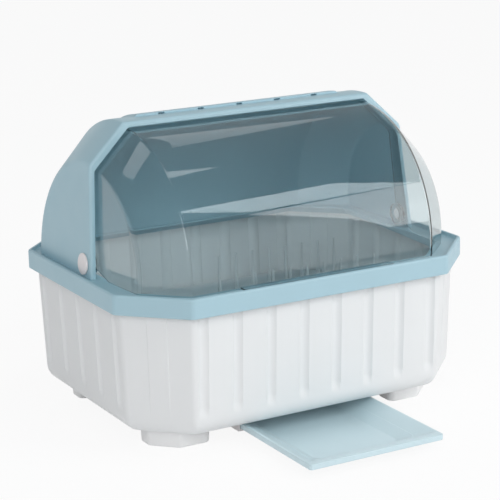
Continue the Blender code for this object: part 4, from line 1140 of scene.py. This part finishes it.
# %% [markdown]
# ## The drip tray and its runners
# The tray is a pan behind a narrow front lip. A thin upright edge runs round it, and the pan's walls
# slope down to its floor, with a fine ledge low on the slope. Each level of its section is a rectangle
# with round corners. Two channels under the tub hold its sides. They are plain bars of one section, so
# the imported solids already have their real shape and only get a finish.

# %% Measure the tray
tray_low, tray_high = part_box("drip_tray")
TRAY_FOOT = 0.0075
TRAY_WALL = 0.0024
TRAY_CORNER = 0.004
TRAY_STEPS = 8
PAN_RIM = 0.0036
PAN_UNDER = 0.0021
PAN_LIP = 0.0069
PAN_END = PAN_RIM + 0.0320
PAN_FLOOR = 0.0155
PAN_LEDGE_INSET = 0.0201
PAN_LEDGE_DROP = 0.0083
PAN_LEDGE_END = PAN_LEDGE_INSET + 0.0012
PAN_CORNER = 0.008
FLOOR_CORNER = 0.012
# Each row has an inset, a drop from the top and a corner's radius: the pan's underside, the upright
# edge from its inside over its foot to its top, and the pan's slope down to its floor.
UNDER_ROWS = ((PAN_END, PAN_FLOOR + 0.0018, FLOOR_CORNER),
              (PAN_END - 0.002, PAN_FLOOR + 0.0014, FLOOR_CORNER), (PAN_RIM, PAN_UNDER, PAN_CORNER))
EDGE_ROWS = ((TRAY_WALL, PAN_UNDER, 0.0028), (TRAY_WALL, TRAY_FOOT - 0.0004, 0.0028),
             (TRAY_WALL - 0.0004, TRAY_FOOT, 0.0030), (0.0012, TRAY_FOOT, 0.0034),
             (0.0004, TRAY_FOOT - 0.0003, 0.0038), (0.0, TRAY_FOOT - 0.0010, TRAY_CORNER),
             (0.0, 0.0012, TRAY_CORNER), (0.0003, 0.0004, 0.0038), (0.0011, 0.0, 0.0036))
PAN_ROWS = ((PAN_RIM - 0.0001, 0.0002, PAN_CORNER), (PAN_RIM + 0.0009, 0.0007, PAN_CORNER),
            (PAN_LEDGE_INSET - 0.0004, PAN_LEDGE_DROP - 0.0003, FLOOR_CORNER),
            (PAN_LEDGE_INSET, PAN_LEDGE_DROP, FLOOR_CORNER), (PAN_LEDGE_END, PAN_LEDGE_DROP, FLOOR_CORNER),
            (PAN_LEDGE_END + 0.0004, PAN_LEDGE_DROP + 0.0003, FLOOR_CORNER),
            (PAN_END - 0.0010, PAN_FLOOR - 0.0004, FLOOR_CORNER),
            (PAN_END, PAN_FLOOR - 0.0001, FLOOR_CORNER), (PAN_END + 0.0010, PAN_FLOOR, FLOOR_CORNER))
LIP_ROWS = ((PAN_RIM - 0.0010, 0.0, PAN_CORNER + 0.001),)
TRAY_SECTION = ((PAN_LIP, UNDER_ROWS), (0.0, EDGE_ROWS), (PAN_LIP - 0.0010, LIP_ROWS), (PAN_LIP, PAN_ROWS))
print("The tray is", round((tray_high.x - tray_low.x) * 1000, 1), "mm wide")


# %% Shape the tray
def make_tray():
    """The drip tray, from the pan's underside round the edge to its floor."""
    rings = []
    for lip, rows in TRAY_SECTION:
        for inset, drop, radius in rows:
            outline = rectangle(tray_low.x + inset, tray_low.y + inset + lip, tray_high.x - inset,
                                tray_high.y - inset)
            rings.append(at_height(rounded(outline, radius, TRAY_STEPS), tray_high.z - drop))
    return round_edges(new_piece("sliding_tray", skin_rings(rings), TRAY_BLUE), smooth=28.0)


place_piece(make_tray(), "tray", "frame_blue", "drip_tray")
for side_word in ("left", "right"):
    runner = frame["nodes"][side_word + "_tray_runner"]
    runner.data.materials.clear()
    runner.data.materials.append(FITTING_WHITE)

# %% [markdown]
# ## The drain rack
# Inside the tub a slotted board keeps things off the floor. Its slots repeat on a grid, so the same
# Geometry Nodes that cut the vents cut all the slots here. Four square legs hold it up.

# %% Shape the rack
rack_low, rack_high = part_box("drain_rack")
RACK_INSET = HALF_WIDTH - rack_high.x
RACK_WALL = 0.003
RACK_SKIRT = 0.010
RACK_CORNER = 0.010
LEG_X, LEG_Y, LEG_HALF = 0.150, 0.110, 0.005
SLOT_LENGTH, SLOT_WIDTH = 0.050, 0.009
SLOT_GRID = {"columns": 6, "rows": 13, "column_pitch": 0.060, "row_pitch": 0.020}


def make_rack():
    """The slotted board with its skirt and legs."""
    top, under, skirt = rack_high.z, rack_high.z - RACK_WALL, rack_high.z - RACK_SKIRT
    levels = [(0.0008, top), (0.0002, top - 0.0003), (0.0, top - 0.0010), (0.0, skirt), (RACK_WALL, skirt),
              (RACK_WALL, under)]
    rings = [at_height(rounded(plan(RACK_INSET + inset), RACK_CORNER - inset, CORNER_STEPS), z)
             for inset, z in levels]
    rack = new_piece("slotted_rack", skin_rings(rings), RACK_WHITE)
    for x in (-LEG_X, LEG_X):
        for y in (MIDDLE_Y - LEG_Y, MIDDLE_Y + LEG_Y):
            combine(rack, "UNION", box_shape((x - LEG_HALF, y - LEG_HALF, rack_low.z),
                                             (x + LEG_HALF, y + LEG_HALF, under + JOIN_OVERLAP)))
    cut_slots(rack, slot_shape(SLOT_LENGTH, SLOT_WIDTH, under - CUT_OVERRUN, top + CUT_OVERRUN),
              middle=(0.0, MIDDLE_Y, 0.0), finish=RACK_WHITE, **SLOT_GRID)
    return round_edges(rack, 0.0005, 2, angle=40.0)


place_piece(make_rack(), "drainer", "rack_white", "drain_rack")

# %% [markdown]
# ## The combs
# Two combs stand on the rack. Each is a strip with a row of upright tines that taper to a blunt tip.
# A row is a pattern, so a tree places copies of one cone, flattened a little, on a line of points.

# %% Build and place the combs
STRIP_HEIGHT = 0.004
TINE_COUNT = 8
TINE_PITCH = 0.026
TINE_RADIUS, TINE_TIP_RADIUS = 0.004, 0.0022
TINE_FLATTEN = (0.55, 1.0, 1.0)
ROUND_SIDES = 20


def tine_tree():
    """Geometry Nodes that stand a row of tines on a strip."""
    tree, given, made = new_tree("tine_row", ("Count", "Int"), ("Start", "Vector"), ("Step", "Vector"),
                                 ("Foot Radius", "Float"), ("Tip Radius", "Float"), ("Height", "Float"),
                                 ("Flatten", "Vector"))
    line = add(tree, "GeometryNodeMeshLine",
               {"Count": given["Count"], "Start Location": given["Start"], "Offset": given["Step"]})
    tine = add(tree, "GeometryNodeMeshCone",
               {"Vertices": ROUND_SIDES, "Radius Top": given["Tip Radius"],
                "Radius Bottom": given["Foot Radius"], "Depth": given["Height"]})
    return work_copies(tree, given, made, "UNION", line.outputs["Mesh"], tine.outputs["Mesh"],
                       given["Flatten"])


def make_comb(name, node):
    """A strip with a row of tines on the rack."""
    low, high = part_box(node)
    strip_top = low.z + STRIP_HEIGHT
    comb = new_piece(name, box_shape(low, (high.x, high.y, strip_top)), RACK_WHITE)
    first_x = (low.x + high.x) / 2 - TINE_PITCH * (TINE_COUNT - 1) / 2
    run_tree(comb, TINE_TREE, count=TINE_COUNT, step=(TINE_PITCH, 0.0, 0.0),
             start=(first_x, (low.y + high.y) / 2, strip_top - JOIN_OVERLAP),
             foot_radius=TINE_RADIUS, tip_radius=TINE_TIP_RADIUS,
             height=high.z - strip_top + JOIN_OVERLAP, flatten=TINE_FLATTEN, finish=RACK_WHITE)
    return round_edges(comb, 0.0006, angle=40.0)


TINE_TREE = tine_tree()
for end_word in ("front", "rear"):
    node = end_word + "_plate_comb"
    place_piece(make_comb(end_word + "_comb", node), "drainer", "rack_white", node)

# %% [markdown]
# ## The drain strainer
# A small flanged cup sits in the hole in the tub's floor. Its bottom has a middle hole and two rings of
# holes. A third tree turns copies of one round tool about the cup's middle and cuts them all.

# %% Build and place the strainer
CUP_OUTER, CUP_INNER = 0.0175, 0.0159
CUP_FLOOR = FLANGE_HEIGHT = 0.0014
HOLE_RINGS = ((0, 3), (1, 6), (2, 12))
HOLE_PITCH, HOLE_RADIUS, HOLE_DEPTH = 0.0052, 0.0015, 0.006


def ring_tree():
    """Geometry Nodes that cut a middle hole and rings of holes out of a mesh."""
    tree, given, made = new_tree("hole_rings", ("Middle", "Vector"), ("Ring Pitch", "Float"),
                                 ("Hole Radius", "Float"), ("Depth", "Float"))
    gather = add(tree, "GeometryNodeJoinGeometry")
    for ring, count in HOLE_RINGS:
        radius = calc(tree, "MULTIPLY", given["Ring Pitch"], float(ring))
        points = add(tree, "GeometryNodeMeshCircle", {"Vertices": count, "Radius": radius})
        feed(tree, gather, {0: points.outputs["Mesh"]})
    single = add(tree, "GeometryNodeMergeByDistance", {"Geometry": gather.outputs[0]})
    moved = add(tree, "GeometryNodeTransform",
                {"Geometry": single.outputs[0], "Translation": given["Middle"]})
    tool = add(tree, "GeometryNodeMeshCylinder",
               {"Vertices": ROUND_SIDES, "Radius": given["Hole Radius"], "Depth": given["Depth"]})
    return work_copies(tree, given, made, "DIFFERENCE", moved.outputs[0], tool.outputs["Mesh"])


def make_strainer():
    """The flanged cup with its holes."""
    low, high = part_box("drain_strainer")
    profile = [(low.z + CUP_FLOOR, CUP_INNER - 0.0005), (low.z + CUP_FLOOR + 0.0005, CUP_INNER),
               (high.z - 0.0004, CUP_INNER), (high.z, CUP_INNER + 0.0005), (high.z, high.x - 0.0006),
               (high.z - 0.0003, high.x - 0.0001), (high.z - FLANGE_HEIGHT, high.x),
               (high.z - FLANGE_HEIGHT, CUP_OUTER), (low.z + 0.0005, CUP_OUTER), (low.z, CUP_OUTER - 0.0005)]
    cup = new_piece("drain_cup", skin_rings([circle(radius, z) for z, radius in profile]), FRAME_BLUE)
    run_tree(cup, ring_tree(), middle=(0.0, DRAIN_Y, low.z), ring_pitch=HOLE_PITCH, hole_radius=HOLE_RADIUS,
             depth=HOLE_DEPTH, finish=FRAME_BLUE)
    return round_edges(cup, 0.0002, 2, angle=40.0)


place_piece(make_strainer(), "drainer", "frame_blue", "drain_strainer")

# %% [markdown]
# ## The floor
# The floor is white. The camera sees mostly an even white there, with a share of real shaded floor
# mixed in, so that the object keeps a soft shadow without any grey page round it.

# %% Lay the floor
FLOOR_HALF = 6.0
FLOOR_COLOUR = (0.93, 0.935, 0.94, 1.0)
FLOOR_ROUGHNESS = 0.9
EVEN_SHARE = 0.91

floor_material, tree = new_material("studio_floor")
paint = feed(tree, tree.nodes["Principled BSDF"],
             {"Base Color": FLOOR_COLOUR, "Roughness": FLOOR_ROUGHNESS, "Specular IOR Level": 0.0})
white = add(tree, "ShaderNodeEmission", {"Color": WHITE, "Strength": 1.0})
share = calc(tree, "MULTIPLY", seen_directly(tree), EVEN_SHARE)
blend = add(tree, "ShaderNodeMixShader", {0: share, 1: paint.outputs[0], 2: white.outputs[0]})
feed(tree, tree.nodes["Material Output"], {"Surface": blend.outputs[0]})
floor_corners = at_height(rectangle(-FLOOR_HALF, -FLOOR_HALF, FLOOR_HALF, FLOOR_HALF), 0.0)
floor_shape = bmesh.new()
floor_shape.faces.new([floor_shape.verts.new(corner) for corner in floor_corners])
floor = new_piece("studio_floor", floor_shape, floor_material)
print("The floor is", FLOOR_HALF * 2, "m wide")
